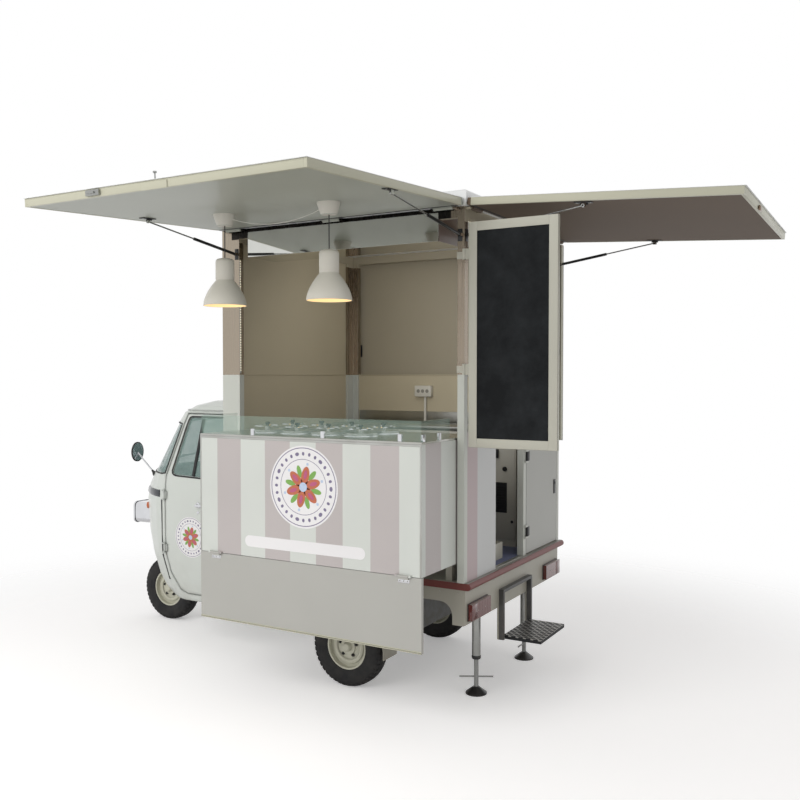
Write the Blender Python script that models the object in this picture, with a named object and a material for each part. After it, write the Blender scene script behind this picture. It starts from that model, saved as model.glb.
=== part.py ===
"""Three-wheeled mini truck with a vending body: lifting side and rear hatches, slide-out counter,
folding step and screw jacks. Metres, +Z up, +Y to the rear, +X to the vehicle's left."""
import math

import bmesh
import bpy
from mathutils import Matrix, Vector

for item in list(bpy.data.objects):
    bpy.data.objects.remove(item, do_unlink=True)

# Driving dimensions, all measured from the rear axle's centre line on the ground
WHEELBASE = 2.104
REAR_TRACK = 1.200
TYRE_RADIUS = 0.252
TYRE_WIDTH = 0.118
RIM_RADIUS = 0.142
SEAT_GAP = 0.0003
CUT_OVERRUN = 0.05
SMOOTH_ANGLE = 35

BODY_FRONT_Y = -0.880
BODY_REAR_Y = 0.885
BODY_HALF_WIDTH = 0.785
DECK_SET_IN = 0.017
DECK_HALF_WIDTH = BODY_HALF_WIDTH - DECK_SET_IN
DECK_TOP = 0.785
DECK_THICKNESS = 0.050
WALL = 0.028
ROOF_UNDERSIDE = 2.915
ROOF_THICKNESS = 0.095
SILL_TOP = 1.640

HINGE_DROP = 0.010
HINGE_OUT = 0.027
HATCH_STANDOFF = 0.010
HATCH_THICKNESS = 0.040
HATCH_OPEN_DROP = math.radians(3.4)
LEFT_HATCH_LENGTH = 1.480
REAR_HATCH_LENGTH = 1.455
RIGHT_HATCH_LENGTH = 1.400

COUNTER_OUT_X = 1.198
COUNTER_FRONT_Y = -0.705
COUNTER_REAR_Y = 0.834
COUNTER_TOP = 1.600
COUNTER_BOTTOM = 0.893
COUNTER_DEPTH = 0.740
COUNTER_TRAVEL = 0.395
GLASS_TOP = 1.725

CAB_REAR_Y = -0.935
CAB_WALL = 0.030

HINGE_Z = ROOF_UNDERSIDE - HINGE_DROP
SIDE_HINGE_X = BODY_HALF_WIDTH + HINGE_OUT
REAR_HINGE_Y = BODY_REAR_Y + HINGE_OUT

LEFT_REACH = SIDE_HINGE_X + LEFT_HATCH_LENGTH * math.cos(HATCH_OPEN_DROP)
LEFT_REACH += (HATCH_STANDOFF + HATCH_THICKNESS) * math.sin(HATCH_OPEN_DROP)
RIGHT_REACH = SIDE_HINGE_X + HATCH_STANDOFF + HATCH_THICKNESS
REAR_REACH = REAR_HINGE_Y + REAR_HATCH_LENGTH * math.cos(HATCH_OPEN_DROP)
REAR_REACH += (HATCH_STANDOFF + HATCH_THICKNESS) * math.sin(HATCH_OPEN_DROP)
HEADLAMP_FRONT_Y = -2.445
MIDDLE_X = (LEFT_REACH - RIGHT_REACH) / 2
MIDDLE_Y = (REAR_REACH + HEADLAMP_FRONT_Y) / 2

ROOT = bpy.data.objects.new("vehicle_origin", None)
ROOT.location = (-MIDDLE_X, -MIDDLE_Y, 0)
bpy.context.scene.collection.objects.link(ROOT)

PAINT_WHITE = ("body_white", (0.82, 0.83, 0.79), 0.35, 0.0)
PAINT_GREY = ("skirt_grey", (0.62, 0.60, 0.55), 0.40, 0.0)
PAINT_PINK = ("stripe_pink", (0.70, 0.64, 0.62), 0.40, 0.0)
BEIGE = ("inner_beige", (0.60, 0.55, 0.46), 0.45, 0.0)
STAINLESS = ("stainless", (0.62, 0.62, 0.60), 0.25, 1.0)
CHROME = ("chrome", (0.80, 0.80, 0.82), 0.08, 1.0)
BLACK_METAL = ("black_metal", (0.04, 0.04, 0.04), 0.45, 0.6)
RUBBER = ("rubber", (0.03, 0.03, 0.03), 0.85, 0.0)
RIM_PAINT = ("rim_cream", (0.75, 0.74, 0.66), 0.35, 0.0)
GLASS = ("glass", (0.70, 0.85, 0.80), 0.05, 0.0)
DARK_RED = ("bumper_red", (0.30, 0.10, 0.10), 0.50, 0.0)
LAMP_RED = ("lamp_red", (0.35, 0.03, 0.03), 0.20, 0.0)
BOARD_BLACK = ("board_black", (0.03, 0.04, 0.05), 0.70, 0.0)
SEAT_FABRIC = ("seat_black", (0.05, 0.05, 0.05), 0.80, 0.0)
CAST_IRON = ("engine_grey", (0.25, 0.25, 0.26), 0.60, 0.8)
LAMP_CREAM = ("lamp_cream", (0.78, 0.76, 0.70), 0.40, 0.0)
MATERIALS = {}


def material(finish):
    """One Principled material for each finish."""
    label, colour, roughness, metallic = finish
    if label not in MATERIALS:
        made = bpy.data.materials.new(label)
        made.use_nodes = True
        shader = made.node_tree.nodes["Principled BSDF"]
        shader.inputs["Base Color"].default_value = (*colour, 1)
        shader.inputs["Roughness"].default_value = roughness
        shader.inputs["Metallic"].default_value = metallic
        made.diffuse_color = (*colour, 1)
        MATERIALS[label] = made
    return MATERIALS[label]


def block(low, high):
    """A box between two opposite corners."""
    shape = bmesh.new()
    bmesh.ops.create_cube(shape, size=1)
    middle = [(a + b) / 2 for a, b in zip(low, high)]
    size = [b - a for a, b in zip(low, high)]
    placed = Matrix.Translation(middle) @ Matrix.Diagonal((*size, 1))
    bmesh.ops.transform(shape, matrix=placed, verts=shape.verts)
    return shape


def prism(outline, axis, low, high):
    """A flat outline in the plane across an axis, drawn out along that axis."""
    order = {"x": (2, 0, 1), "y": (0, 2, 1), "z": (0, 1, 2)}[axis]
    ends = [[(u, v, level) for u, v in outline] for level in (low, high)]
    return loft([[tuple(point[i] for i in order) for point in end] for end in ends])


def loft(loops):
    """A skin through closed loops of equal count, with flat ends."""
    shape = bmesh.new()
    rows = [[shape.verts.new(point) for point in loop] for loop in loops]
    count = len(rows[0])
    for lower, upper in zip(rows, rows[1:]):
        for i in range(count):
            j = (i + 1) % count
            shape.faces.new((lower[i], lower[j], upper[j], upper[i]))
    shape.faces.new(reversed(rows[0]))
    shape.faces.new(rows[-1])
    bmesh.ops.recalc_face_normals(shape, faces=shape.faces)
    return shape


def frame_at(start, direction):
    """A matrix whose Z runs along a direction, with its origin at a point."""
    turn = Vector((0, 0, 1)).rotation_difference(Vector(direction)).to_matrix().to_4x4()
    return Matrix.Translation(start) @ turn


def rod(start, end, radius, sides=16):
    """A round bar between two points."""
    length = (Vector(end) - Vector(start)).length
    ring = [(radius * math.cos(t), radius * math.sin(t)) for t in circle_angles(sides)]
    shape = loft([[(u, v, 0) for u, v in ring], [(u, v, length) for u, v in ring]])
    bmesh.ops.transform(shape, matrix=frame_at(start, Vector(end) - Vector(start)), verts=shape.verts)
    return shape


def circle_angles(sides):
    return [2 * math.pi * i / sides for i in range(sides)]


def turned(profile, centre, direction, steps):
    """A closed profile of (radius, height) points turned about a direction through a centre."""
    shape = bmesh.new()
    rows = []
    for t in circle_angles(steps):
        rows.append([shape.verts.new((r * math.cos(t), r * math.sin(t), h)) for r, h in profile])
    for this, following in zip(rows, rows[1:] + rows[:1]):
        for i in range(len(profile)):
            j = (i + 1) % len(profile)
            shape.faces.new((this[i], this[j], following[j], following[i]))
    bmesh.ops.remove_doubles(shape, verts=shape.verts, dist=SEAT_GAP / 10)
    bmesh.ops.recalc_face_normals(shape, faces=shape.faces)
    bmesh.ops.transform(shape, matrix=frame_at(centre, direction), verts=shape.verts)
    return shape


def object_from(name, shapes, pivot):
    """One object that holds several shapes, with its origin at the pivot."""
    joined = bmesh.new()
    for shape in shapes:
        mesh = bpy.data.meshes.new("scrap")
        shape.to_mesh(mesh)
        joined.from_mesh(mesh)
        bpy.data.meshes.remove(mesh)
    bmesh.ops.translate(joined, verts=joined.verts, vec=-Vector(pivot))
    mesh = bpy.data.meshes.new(name)
    joined.to_mesh(mesh)
    made = bpy.data.objects.new(name, mesh)
    made.location = pivot
    made.parent = ROOT
    bpy.context.scene.collection.objects.link(made)
    return made


def tool(name, shapes):
    """A cutter or a piece to be joined, kept out of the build."""
    made = object_from(name, shapes, (0, 0, 0))
    made.hide_render = True
    made.display_type = "WIRE"
    return made


def combine(target, operation, other):
    change = target.modifiers.new(operation.lower(), "BOOLEAN")
    change.operation = operation
    change.object = other
    change.solver = "EXACT"


def join(target, label, *groups):
    """Joins groups of shapes to a piece; the shapes of one group don't touch each other."""
    for number, group in enumerate(groups):
        shapes = group if isinstance(group, list) else [group]
        combine(target, "UNION", tool(f"{label}_join_{number}", shapes))


def cut(target, label, *groups):
    """Cuts groups of shapes from a piece; the shapes of one group don't touch each other."""
    for number, group in enumerate(groups):
        shapes = group if isinstance(group, list) else [group]
        combine(target, "DIFFERENCE", tool(f"{label}_cut_{number}", shapes))


def piece(name, shapes, finish, cuts=(), keep=(), pivot=(0, 0, 0), smooth=0.0):
    """One named solid: shapes joined, then kept inside some tools and cut by others."""
    made = object_from(name, shapes[:1], pivot)
    join(made, name, *shapes[1:])
    for number, shape in enumerate(keep):
        combine(made, "INTERSECT", tool(f"{name}_keep_{number}", [shape]))
    cut(made, name, *cuts)
    made.data.materials.append(material(finish))
    if smooth:
        made.data.shade_smooth()
        made.data.set_sharp_from_angle(angle=math.radians(smooth))
    return made


def moved(shapes, placed):
    """Shapes carried from a piece's own axes to the vehicle's."""
    for shape in shapes:
        bmesh.ops.transform(shape, matrix=placed, verts=shape.verts)
    return shapes


TAB_SHARE = 0.35
PIN_END_SHARE = 0.5
TAB_GAP = 0.0015


def hinge(label, moving, carrier, places, placed, turned_by, sizes, leaf, tab):
    """Barrels on a moving piece and the pins on its carrier, along the Y axis of their own axes.

    The leaf is a corner pair (x0, z0, x1, z1) across the pin, and the tab an outline of (x, z) points."""
    pin_radius, barrel_radius, barrel_half = sizes
    barrels, leaves, bores, pins, tabs = [], [], [], [], []
    tab_length = barrel_half * TAB_SHARE
    for place in places:
        ends = (place - barrel_half, place + barrel_half)
        reach = barrel_half + TAB_GAP + tab_length * PIN_END_SHARE
        barrels.append(rod((0, ends[0], 0), (0, ends[1], 0), barrel_radius, 16))
        leaves.append(block((leaf[0], ends[0] + SEAT_GAP, leaf[1]), (leaf[2], ends[1] - SEAT_GAP, leaf[3])))
        bores.append(rod((0, ends[0] - CUT_OVERRUN / 2, 0), (0, ends[1] + CUT_OVERRUN / 2, 0),
                         pin_radius + SEAT_GAP, 12))
        pins.append(rod((0, place - reach, 0), (0, place + reach, 0), pin_radius, 12))
        for low in (ends[0] - TAB_GAP - tab_length, ends[1] + TAB_GAP):
            tabs.append(prism(tab, "y", low, low + tab_length))
    join(moving, label + "_moving", moved(barrels, placed @ turned_by), moved(leaves, placed @ turned_by))
    cut(moving, label + "_bore", moved(bores, placed @ turned_by))
    join(carrier, label + "_fixed", moved(tabs, placed), moved(pins, placed))


def hatch_places(low, high):
    """Centres of the three barrels of a hatch hinge."""
    margin = BARREL_HALF * 2
    return [low + margin, (low + high) / 2, high - margin]


def box_outline(x0, z0, x1, z1):
    return [(x0, z0), (x1, z0), (x1, z1), (x0, z1)]


def upright(side):
    """A hinge's own axes stood on end: X to the rear, Y up or down, Z out to one side."""
    return Matrix(((0, 0, side, 0), (1, 0, 0, 0), (0, side, 0, 0), (0, 0, 0, 1)))


def span(side, near, far):
    """The X range between two distances from the middle plane, on one side."""
    return sorted((side * near, side * far))


# Wheels
TYRE_BEAD = 0.012
TYRE_STEPS = 32
RIM_HALF_WIDTH = 0.048
RIM_DISC_THICKNESS = 0.006
RIM_DISC_OFFSET = 0.014
RIM_FLANGE = 0.010
HUB_RADIUS = 0.052
HUB_BORE = 0.0155
HUB_HALF_LENGTH = 0.030
STUB_RADIUS = 0.0150
SIDEWALL_SHARE = 0.45
SHOULDER_SHARE = 0.78
CROWN_SHARE = 0.55


def wheel(label, centre, outward):
    """A tyre and a pressed steel rim, turning about X."""
    half = TYRE_WIDTH / 2
    side_height = RIM_RADIUS + (TYRE_RADIUS - RIM_RADIUS) * SIDEWALL_SHARE
    tyre_profile = [(RIM_RADIUS + SEAT_GAP, -RIM_HALF_WIDTH), (side_height, -half),
                    (TYRE_RADIUS - TYRE_BEAD, -half * SHOULDER_SHARE), (TYRE_RADIUS, -half * CROWN_SHARE),
                    (TYRE_RADIUS, half * CROWN_SHARE), (TYRE_RADIUS - TYRE_BEAD, half * SHOULDER_SHARE),
                    (side_height, half), (RIM_RADIUS + SEAT_GAP, RIM_HALF_WIDTH)]
    tyre = turned(tyre_profile, centre, (outward, 0, 0), TYRE_STEPS)
    piece("tyre_" + label, [tyre], RUBBER, pivot=centre, smooth=SMOOTH_ANGLE)
    face = RIM_DISC_OFFSET
    rim_profile = [(RIM_RADIUS, -RIM_HALF_WIDTH), (RIM_RADIUS, RIM_HALF_WIDTH),
                   (RIM_RADIUS - RIM_FLANGE, RIM_HALF_WIDTH), (RIM_RADIUS - RIM_FLANGE, face),
                   (HUB_RADIUS, face + RIM_DISC_THICKNESS), (HUB_RADIUS, HUB_HALF_LENGTH),
                   (HUB_BORE, HUB_HALF_LENGTH), (HUB_BORE, -HUB_HALF_LENGTH), (HUB_RADIUS, -HUB_HALF_LENGTH),
                   (HUB_RADIUS, face - RIM_DISC_THICKNESS), (RIM_RADIUS - RIM_FLANGE, face - RIM_DISC_THICKNESS),
                   (RIM_RADIUS - RIM_FLANGE, -RIM_HALF_WIDTH)]
    rim = turned(rim_profile, centre, (outward, 0, 0), TYRE_STEPS)
    piece("rim_" + label, [rim], RIM_PAINT, pivot=centre, smooth=SMOOTH_ANGLE)


FRONT_WHEEL = (0, -WHEELBASE, TYRE_RADIUS)
wheel("front", FRONT_WHEEL, 1)
for wheel_label, wheel_side in (("rear_left", 1), ("rear_right", -1)):
    wheel(wheel_label, (wheel_side * REAR_TRACK / 2, 0, TYRE_RADIUS), wheel_side)

# Chassis frame with goose-neck, swing-arm brackets, cross members and jack tubes
RAIL_INNER_X = 0.250
RAIL_OUTER_X = 0.310
RAIL_BOTTOM = 0.630
RAIL_REAR_Y = 0.840
LOW_RAIL_BOTTOM = 0.300
CAB_BOTTOM = 0.360
NECK_DEPTH = 0.060
NECK_REAR_Y = -0.870
LOW_RAIL_FRONT_Y = -1.780
CROSS_HALF_WIDTH = 0.030
CROSS_INSET = 0.020
DECK_BOTTOM = DECK_TOP - DECK_THICKNESS
PIVOT_Y = -0.350
PIVOT_Z = 0.400
PIVOT_RADIUS = 0.030
BRACKET_HALF = 0.035
JACK_LEFT_X = 0.345
JACK_RIGHT_X = -0.445
JACK_Y = 0.760
JACK_TUBE_RADIUS = 0.026
JACK_BORE = 0.0145
JACK_TUBE_BOTTOM = 0.217
JACK_TUBE_TOP = 0.690
JACK_BORE_TOP = 0.600

rail_top = DECK_BOTTOM - SEAT_GAP
cab_seat = CAB_BOTTOM - SEAT_GAP
cross_low = RAIL_BOTTOM + CROSS_INSET
cross_high = rail_top - CROSS_INSET
rails = []
brackets = []
jack_tubes = []
jack_bores = []
for side in (1, -1):
    x0, x1 = span(side, RAIL_INNER_X, RAIL_OUTER_X)
    rail_outline = [(RAIL_REAR_Y, RAIL_BOTTOM), (RAIL_REAR_Y, rail_top), (NECK_REAR_Y - NECK_DEPTH, rail_top),
                    (NECK_REAR_Y - NECK_DEPTH, cab_seat), (LOW_RAIL_FRONT_Y, cab_seat),
                    (LOW_RAIL_FRONT_Y, LOW_RAIL_BOTTOM), (NECK_REAR_Y, LOW_RAIL_BOTTOM), (NECK_REAR_Y, RAIL_BOTTOM)]
    rails.append(prism(rail_outline, "x", x0, x1))
    brackets.append(block((x0 + SEAT_GAP, PIVOT_Y - BRACKET_HALF, PIVOT_Z + PIVOT_RADIUS + SEAT_GAP),
                          (x1 - SEAT_GAP, PIVOT_Y + BRACKET_HALF, cross_low)))
for jack_x in (JACK_LEFT_X, JACK_RIGHT_X):
    jack_tubes.append(rod((jack_x, JACK_Y, JACK_TUBE_BOTTOM), (jack_x, JACK_Y, JACK_TUBE_TOP), JACK_TUBE_RADIUS))
    bore_start = (jack_x, JACK_Y, JACK_TUBE_BOTTOM - CUT_OVERRUN)
    jack_bores.append(rod(bore_start, (jack_x, JACK_Y, JACK_BORE_TOP), JACK_BORE))
crosses = []
cross_reach = RAIL_INNER_X + CROSS_INSET
cross_spans = ((NECK_REAR_Y - NECK_DEPTH / 2, -cross_reach, cross_reach), (PIVOT_Y, -cross_reach, cross_reach),
               (JACK_Y, JACK_RIGHT_X, JACK_LEFT_X))
for cross_y, start_x, end_x in cross_spans:
    crosses.append(block((start_x, cross_y - CROSS_HALF_WIDTH, cross_low),
                         (end_x, cross_y + CROSS_HALF_WIDTH, cross_high)))
low_cross = block((-RAIL_INNER_X - CROSS_INSET, LOW_RAIL_FRONT_Y + CROSS_INSET, LOW_RAIL_BOTTOM + CROSS_INSET),
                  (RAIL_INNER_X + CROSS_INSET, LOW_RAIL_FRONT_Y + NECK_DEPTH, cab_seat - CROSS_INSET / 2))
chassis = piece("chassis_frame", [crosses[0], rails, crosses[1:] + [low_cross], brackets, jack_tubes], BLACK_METAL,
                cuts=[jack_bores])

# Swing arms on one cross tube, with the stub axles
ARM_HALF_WIDTH = 0.024
ARM_X = 0.500
STUB_SHOULDER_GAP = 0.002
tube_half = ARM_X + ARM_HALF_WIDTH
axle_shapes = [rod((-tube_half, PIVOT_Y, PIVOT_Z), (tube_half, PIVOT_Y, PIVOT_Z), PIVOT_RADIUS, 20)]
for side in (1, -1):
    x0, x1 = span(side, ARM_X - ARM_HALF_WIDTH, ARM_X + ARM_HALF_WIDTH)
    arm_outline = [(PIVOT_Y - PIVOT_RADIUS, PIVOT_Z), (PIVOT_Y, PIVOT_Z + PIVOT_RADIUS),
                   (PIVOT_RADIUS, TYRE_RADIUS + PIVOT_RADIUS), (PIVOT_RADIUS, TYRE_RADIUS - PIVOT_RADIUS),
                   (PIVOT_Y, PIVOT_Z - PIVOT_RADIUS)]
    axle_shapes.append(prism(arm_outline, "x", x0, x1))
    axle_shapes.append(rod((side * ARM_X, 0, TYRE_RADIUS), (side * (REAR_TRACK / 2 + HUB_HALF_LENGTH), 0, TYRE_RADIUS),
                           STUB_RADIUS))
piece("rear_swing_arms", [axle_shapes[0], axle_shapes[1::2], axle_shapes[2::2]], BLACK_METAL)

# Engine under the deck, one plain block
ENGINE_HALF_WIDTH = 0.275
ENGINE_FRONT_Y = -0.270
ENGINE_REAR_Y = 0.300
ENGINE_BOTTOM = 0.300
piece("engine_block", [block((-ENGINE_HALF_WIDTH, ENGINE_FRONT_Y, ENGINE_BOTTOM),
                             (ENGINE_HALF_WIDTH, ENGINE_REAR_Y, RAIL_BOTTOM - SEAT_GAP))], CAST_IRON)

# Screw jacks, which slide up in their tubes
JACK_FOOT_RADIUS = 0.066
JACK_FOOT_NECK = 0.022
JACK_FOOT_HEIGHT = 0.042
JACK_FOOT_EDGE = 0.008
JACK_SCREW_RADIUS = 0.0142
JACK_SCREW_TOP = 0.480
JACK_BAR_Z = 0.105
JACK_BAR_RADIUS = 0.005
JACK_BAR_HALF = 0.105
JACK_FOOT_SEAT = 0.004
JACK_LEFT_BAR_TURN = math.radians(118)
JACK_RIGHT_BAR_TURN = 0
foot_profile = [(0, 0), (JACK_FOOT_RADIUS, 0), (JACK_FOOT_RADIUS, JACK_FOOT_EDGE),
                (JACK_FOOT_NECK, JACK_FOOT_HEIGHT), (0, JACK_FOOT_HEIGHT)]
for jack_label, jack_x, bar_turn in (("left", JACK_LEFT_X, JACK_LEFT_BAR_TURN),
                                     ("right", JACK_RIGHT_X, JACK_RIGHT_BAR_TURN)):
    foot = (jack_x, JACK_Y, 0)
    bar_middle = Vector((jack_x, JACK_Y, JACK_BAR_Z))
    bar_half = Vector((math.cos(bar_turn), math.sin(bar_turn), 0)) * JACK_BAR_HALF
    leg = [turned(foot_profile, foot, (0, 0, 1), 24),
           rod((jack_x, JACK_Y, JACK_FOOT_SEAT), (jack_x, JACK_Y, JACK_SCREW_TOP), JACK_SCREW_RADIUS),
           rod(bar_middle - bar_half, bar_middle + bar_half, JACK_BAR_RADIUS, 10)]
    piece("jack_leg_" + jack_label, leg, BLACK_METAL, pivot=foot)

# Deck with its skirts, wheel guards and the counter's two runners
SKIRT_THICKNESS = 0.020
SIDE_SKIRT_BOTTOM = 0.535
REAR_SKIRT_BOTTOM = 0.540
ARCH_FRONT_Y = -0.400
ARCH_REAR_Y = 0.803
ARCH_TOP = 0.665
ARCH_ROUND = 0.080
ARCH_STEPS = 5
GUARD_RADIUS = 0.300
GUARD_THICKNESS = 0.004
GUARD_INNER_X = 0.535
GUARD_OUTER_X = 0.700
GUARD_REAR_ANGLE = math.radians(-5)
GUARD_FRONT_ANGLE = math.radians(140)
GUARD_STEPS = 14
HANGER_INSET = 0.050
HANGER_HALF = 0.015
RUNNER_INNER_X = 0.020
RUNNER_HALF = 0.020
RUNNER_OUTER_X = 0.755
RUNNER_INSET_Y = 0.060
SKIRT_FRONT_Y = -0.600
runner_top = COUNTER_BOTTOM - SEAT_GAP


def arch_outline(low):
    """The wheel opening as (y, z) points, with two rounded upper corners."""
    outline = [(ARCH_FRONT_Y, low)]
    for corner_y, start in ((ARCH_FRONT_Y + ARCH_ROUND, math.pi), (ARCH_REAR_Y - ARCH_ROUND, math.pi / 2)):
        for step in range(ARCH_STEPS + 1):
            angle = start - math.pi / 2 * step / ARCH_STEPS
            outline.append((corner_y + ARCH_ROUND * math.cos(angle),
                            ARCH_TOP - ARCH_ROUND + ARCH_ROUND * math.sin(angle)))
    return outline + [(ARCH_REAR_Y, low)]


def guard_outline():
    """A thin band bent round the rear wheel as (y, z) points."""
    turns = [GUARD_REAR_ANGLE + (GUARD_FRONT_ANGLE - GUARD_REAR_ANGLE) * i / GUARD_STEPS
             for i in range(GUARD_STEPS + 1)]
    inner = [(GUARD_RADIUS * math.cos(t), TYRE_RADIUS + GUARD_RADIUS * math.sin(t)) for t in turns]
    outer_radius = GUARD_RADIUS + GUARD_THICKNESS
    outer = [(outer_radius * math.cos(t), TYRE_RADIUS + outer_radius * math.sin(t)) for t in turns]
    return inner + outer[::-1]


side_skirts = []
arches = []
guards = []
hangers = []
skirt_top = DECK_BOTTOM + DECK_THICKNESS / 2
skirt_end = BODY_REAR_Y - SKIRT_THICKNESS / 2
for side in (1, -1):
    x0, x1 = span(side, DECK_HALF_WIDTH - SKIRT_THICKNESS, DECK_HALF_WIDTH - SEAT_GAP)
    side_skirts.append(block((x0, SKIRT_FRONT_Y, SIDE_SKIRT_BOTTOM), (x1, skirt_end, skirt_top)))
    arches.append(prism(arch_outline(SIDE_SKIRT_BOTTOM - CUT_OVERRUN), "x", x0 - CUT_OVERRUN, x1 + CUT_OVERRUN))
    guards.append(prism(guard_outline(), "x", *span(side, GUARD_INNER_X, GUARD_OUTER_X)))
    hanger_x = span(side, GUARD_INNER_X + HANGER_INSET, GUARD_OUTER_X - HANGER_INSET)
    hangers.append(block((hanger_x[0], -HANGER_HALF, TYRE_RADIUS + GUARD_RADIUS + GUARD_THICKNESS / 2),
                         (hanger_x[1], HANGER_HALF, DECK_BOTTOM + DECK_THICKNESS / 2)))
rear_skirt = block((-DECK_HALF_WIDTH + SEAT_GAP * 2, BODY_REAR_Y - SKIRT_THICKNESS, REAR_SKIRT_BOTTOM),
                   (DECK_HALF_WIDTH - SEAT_GAP * 2, BODY_REAR_Y - SEAT_GAP, skirt_top + SEAT_GAP))
runners = [block((RUNNER_INNER_X, runner_y - RUNNER_HALF, DECK_TOP - DECK_THICKNESS / 2),
                 (RUNNER_OUTER_X, runner_y + RUNNER_HALF, runner_top))
           for runner_y in (COUNTER_FRONT_Y + RUNNER_INSET_Y, COUNTER_REAR_Y - RUNNER_INSET_Y)]
floor = block((-DECK_HALF_WIDTH, BODY_FRONT_Y, DECK_BOTTOM), (DECK_HALF_WIDTH, BODY_REAR_Y, DECK_TOP))
deck = piece("deck", [floor, side_skirts, rear_skirt, runners], PAINT_GREY, cuts=[arches])
join(deck, "wheel_guard", hangers, guards)

# Half-round bumper moulding along the deck's rear edge, with flat strips along its sides, and the tail lamps
BUMPER_BOTTOM = 0.742
BUMPER_TOP = 0.783
BUMPER_OVERHANG = 0.030
BUMPER_FLAT = 0.016
STRIP_THICKNESS = 0.006
ROUND_STEPS = 8
bumper_radius = (BUMPER_TOP - BUMPER_BOTTOM) / 2
bumper_start = BODY_REAR_Y + SEAT_GAP
bumper_z = BUMPER_BOTTOM + bumper_radius
bumper_outline = [(bumper_start, BUMPER_BOTTOM)]
for step in range(ROUND_STEPS + 1):
    angle = math.pi * (step / ROUND_STEPS - 1 / 2)
    bumper_outline.append((bumper_start + BUMPER_FLAT + bumper_radius * math.cos(angle),
                           bumper_z + bumper_radius * math.sin(angle)))
bumper_outline.append((bumper_start, BUMPER_TOP))
strip_face = DECK_HALF_WIDTH + SEAT_GAP + STRIP_THICKNESS
left_strip = block((DECK_HALF_WIDTH + SEAT_GAP, SKIRT_FRONT_Y, BUMPER_BOTTOM),
                   (strip_face, bumper_start + BUMPER_FLAT, BUMPER_TOP))
right_strip = block((-strip_face, SKIRT_FRONT_Y, BUMPER_BOTTOM),
                    (-DECK_HALF_WIDTH - SEAT_GAP, bumper_start + BUMPER_FLAT, BUMPER_TOP))
moulding = prism(bumper_outline, "x", -DECK_HALF_WIDTH - BUMPER_OVERHANG, strip_face)
piece("rear_bumper_bar", [moulding, [left_strip, right_strip]], DARK_RED, smooth=SMOOTH_ANGLE)
TAIL_WIDTH = 0.265
TAIL_SET_IN = 0.033
TAIL_OUTER_X = DECK_HALF_WIDTH - TAIL_SET_IN
TAIL_INNER_X = TAIL_OUTER_X - TAIL_WIDTH
TAIL_BOTTOM = 0.560
TAIL_TOP = 0.655
TAIL_DEPTH = 0.028
for lamp_label, side in (("left", 1), ("right", -1)):
    x0, x1 = span(side, TAIL_INNER_X, TAIL_OUTER_X)
    lens = block((x0, BODY_REAR_Y + SEAT_GAP, TAIL_BOTTOM), (x1, BODY_REAR_Y + TAIL_DEPTH, TAIL_TOP))
    piece("tail_lamp_" + lamp_label, [lens], LAMP_RED)

# Body frame: posts, header rails and the door post, one welded frame
POST = 0.043
COLUMN_REAR_Y = -0.738
SEAM_Z = 1.970
FRONT_RIGHT_COLUMN_WIDTH = 0.130
FRONT_RIGHT_COLUMN_X = FRONT_RIGHT_COLUMN_WIDTH - BODY_HALF_WIDTH
HEADER_DEPTH = 0.060
DOOR_POST_X = -0.110
DOOR_POST_WIDTH = 0.045
DOORWAY_LEFT_X = 0.340
HINGE_PIN_RADIUS = 0.004
BARREL_RADIUS = 0.0085
BARREL_HALF = 0.060

body_top = ROOF_UNDERSIDE - SEAT_GAP
body_bottom = DECK_TOP + SEAT_GAP
inner_x = BODY_HALF_WIDTH - POST
header_low = body_top - HEADER_DEPTH
below = body_bottom - CUT_OVERRUN
out_x = BODY_HALF_WIDTH + CUT_OVERRUN
post_y = BODY_REAR_Y - POST
rear_cut_y = BODY_REAR_Y + CUT_OVERRUN
frame_box = block((-BODY_HALF_WIDTH, BODY_FRONT_Y, body_bottom), (BODY_HALF_WIDTH, BODY_REAR_Y, body_top))
room = block((-inner_x, BODY_FRONT_Y + POST, below), (inner_x, post_y, body_top + CUT_OVERRUN))
left_opening = block((0, COLUMN_REAR_Y, below), (out_x, post_y, header_low))
right_opening = block((-out_x, BODY_FRONT_Y + POST * 2, below), (0, post_y, header_low))
front_opening = block((FRONT_RIGHT_COLUMN_X, BODY_FRONT_Y - CUT_OVERRUN, below), (inner_x, 0, header_low))
rear_openings = [block((DOOR_POST_X, 0, below), (inner_x, rear_cut_y, header_low)),
                 block((-inner_x, 0, below), (DOOR_POST_X - DOOR_POST_WIDTH, rear_cut_y, header_low))]
body_frame = piece("body_frame", [frame_box], STAINLESS,
                   cuts=[room, left_opening, right_opening, front_opening, rear_openings])
hatch_rear_half = BODY_HALF_WIDTH + HINGE_OUT - SEAT_GAP * 10

# Roof slab with rounded edges
ROOF_EDGE_GAP = 0.007
ROOF_ROUND = 0.030
roof_x = SIDE_HINGE_X - ROOF_EDGE_GAP
roof_y = REAR_HINGE_Y - ROOF_EDGE_GAP
roof_front_y = BODY_FRONT_Y - ROOF_EDGE_GAP
roof_top = ROOF_UNDERSIDE + ROOF_THICKNESS


def roof_loop(inset, z):
    return [(-roof_x + inset, roof_front_y + inset, z), (roof_x - inset, roof_front_y + inset, z),
            (roof_x - inset, roof_y - inset, z), (-roof_x + inset, roof_y - inset, z)]


roof_loops = [roof_loop(0, ROOF_UNDERSIDE), roof_loop(0, roof_top - ROOF_ROUND)]
for step in (1, 2, 3):
    angle = math.pi / 6 * step
    roof_loops.append(roof_loop(ROOF_ROUND * (1 - math.cos(angle)), roof_top - ROOF_ROUND * (1 - math.sin(angle))))
piece("roof_slab", [loft(roof_loops)], PAINT_WHITE)

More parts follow.
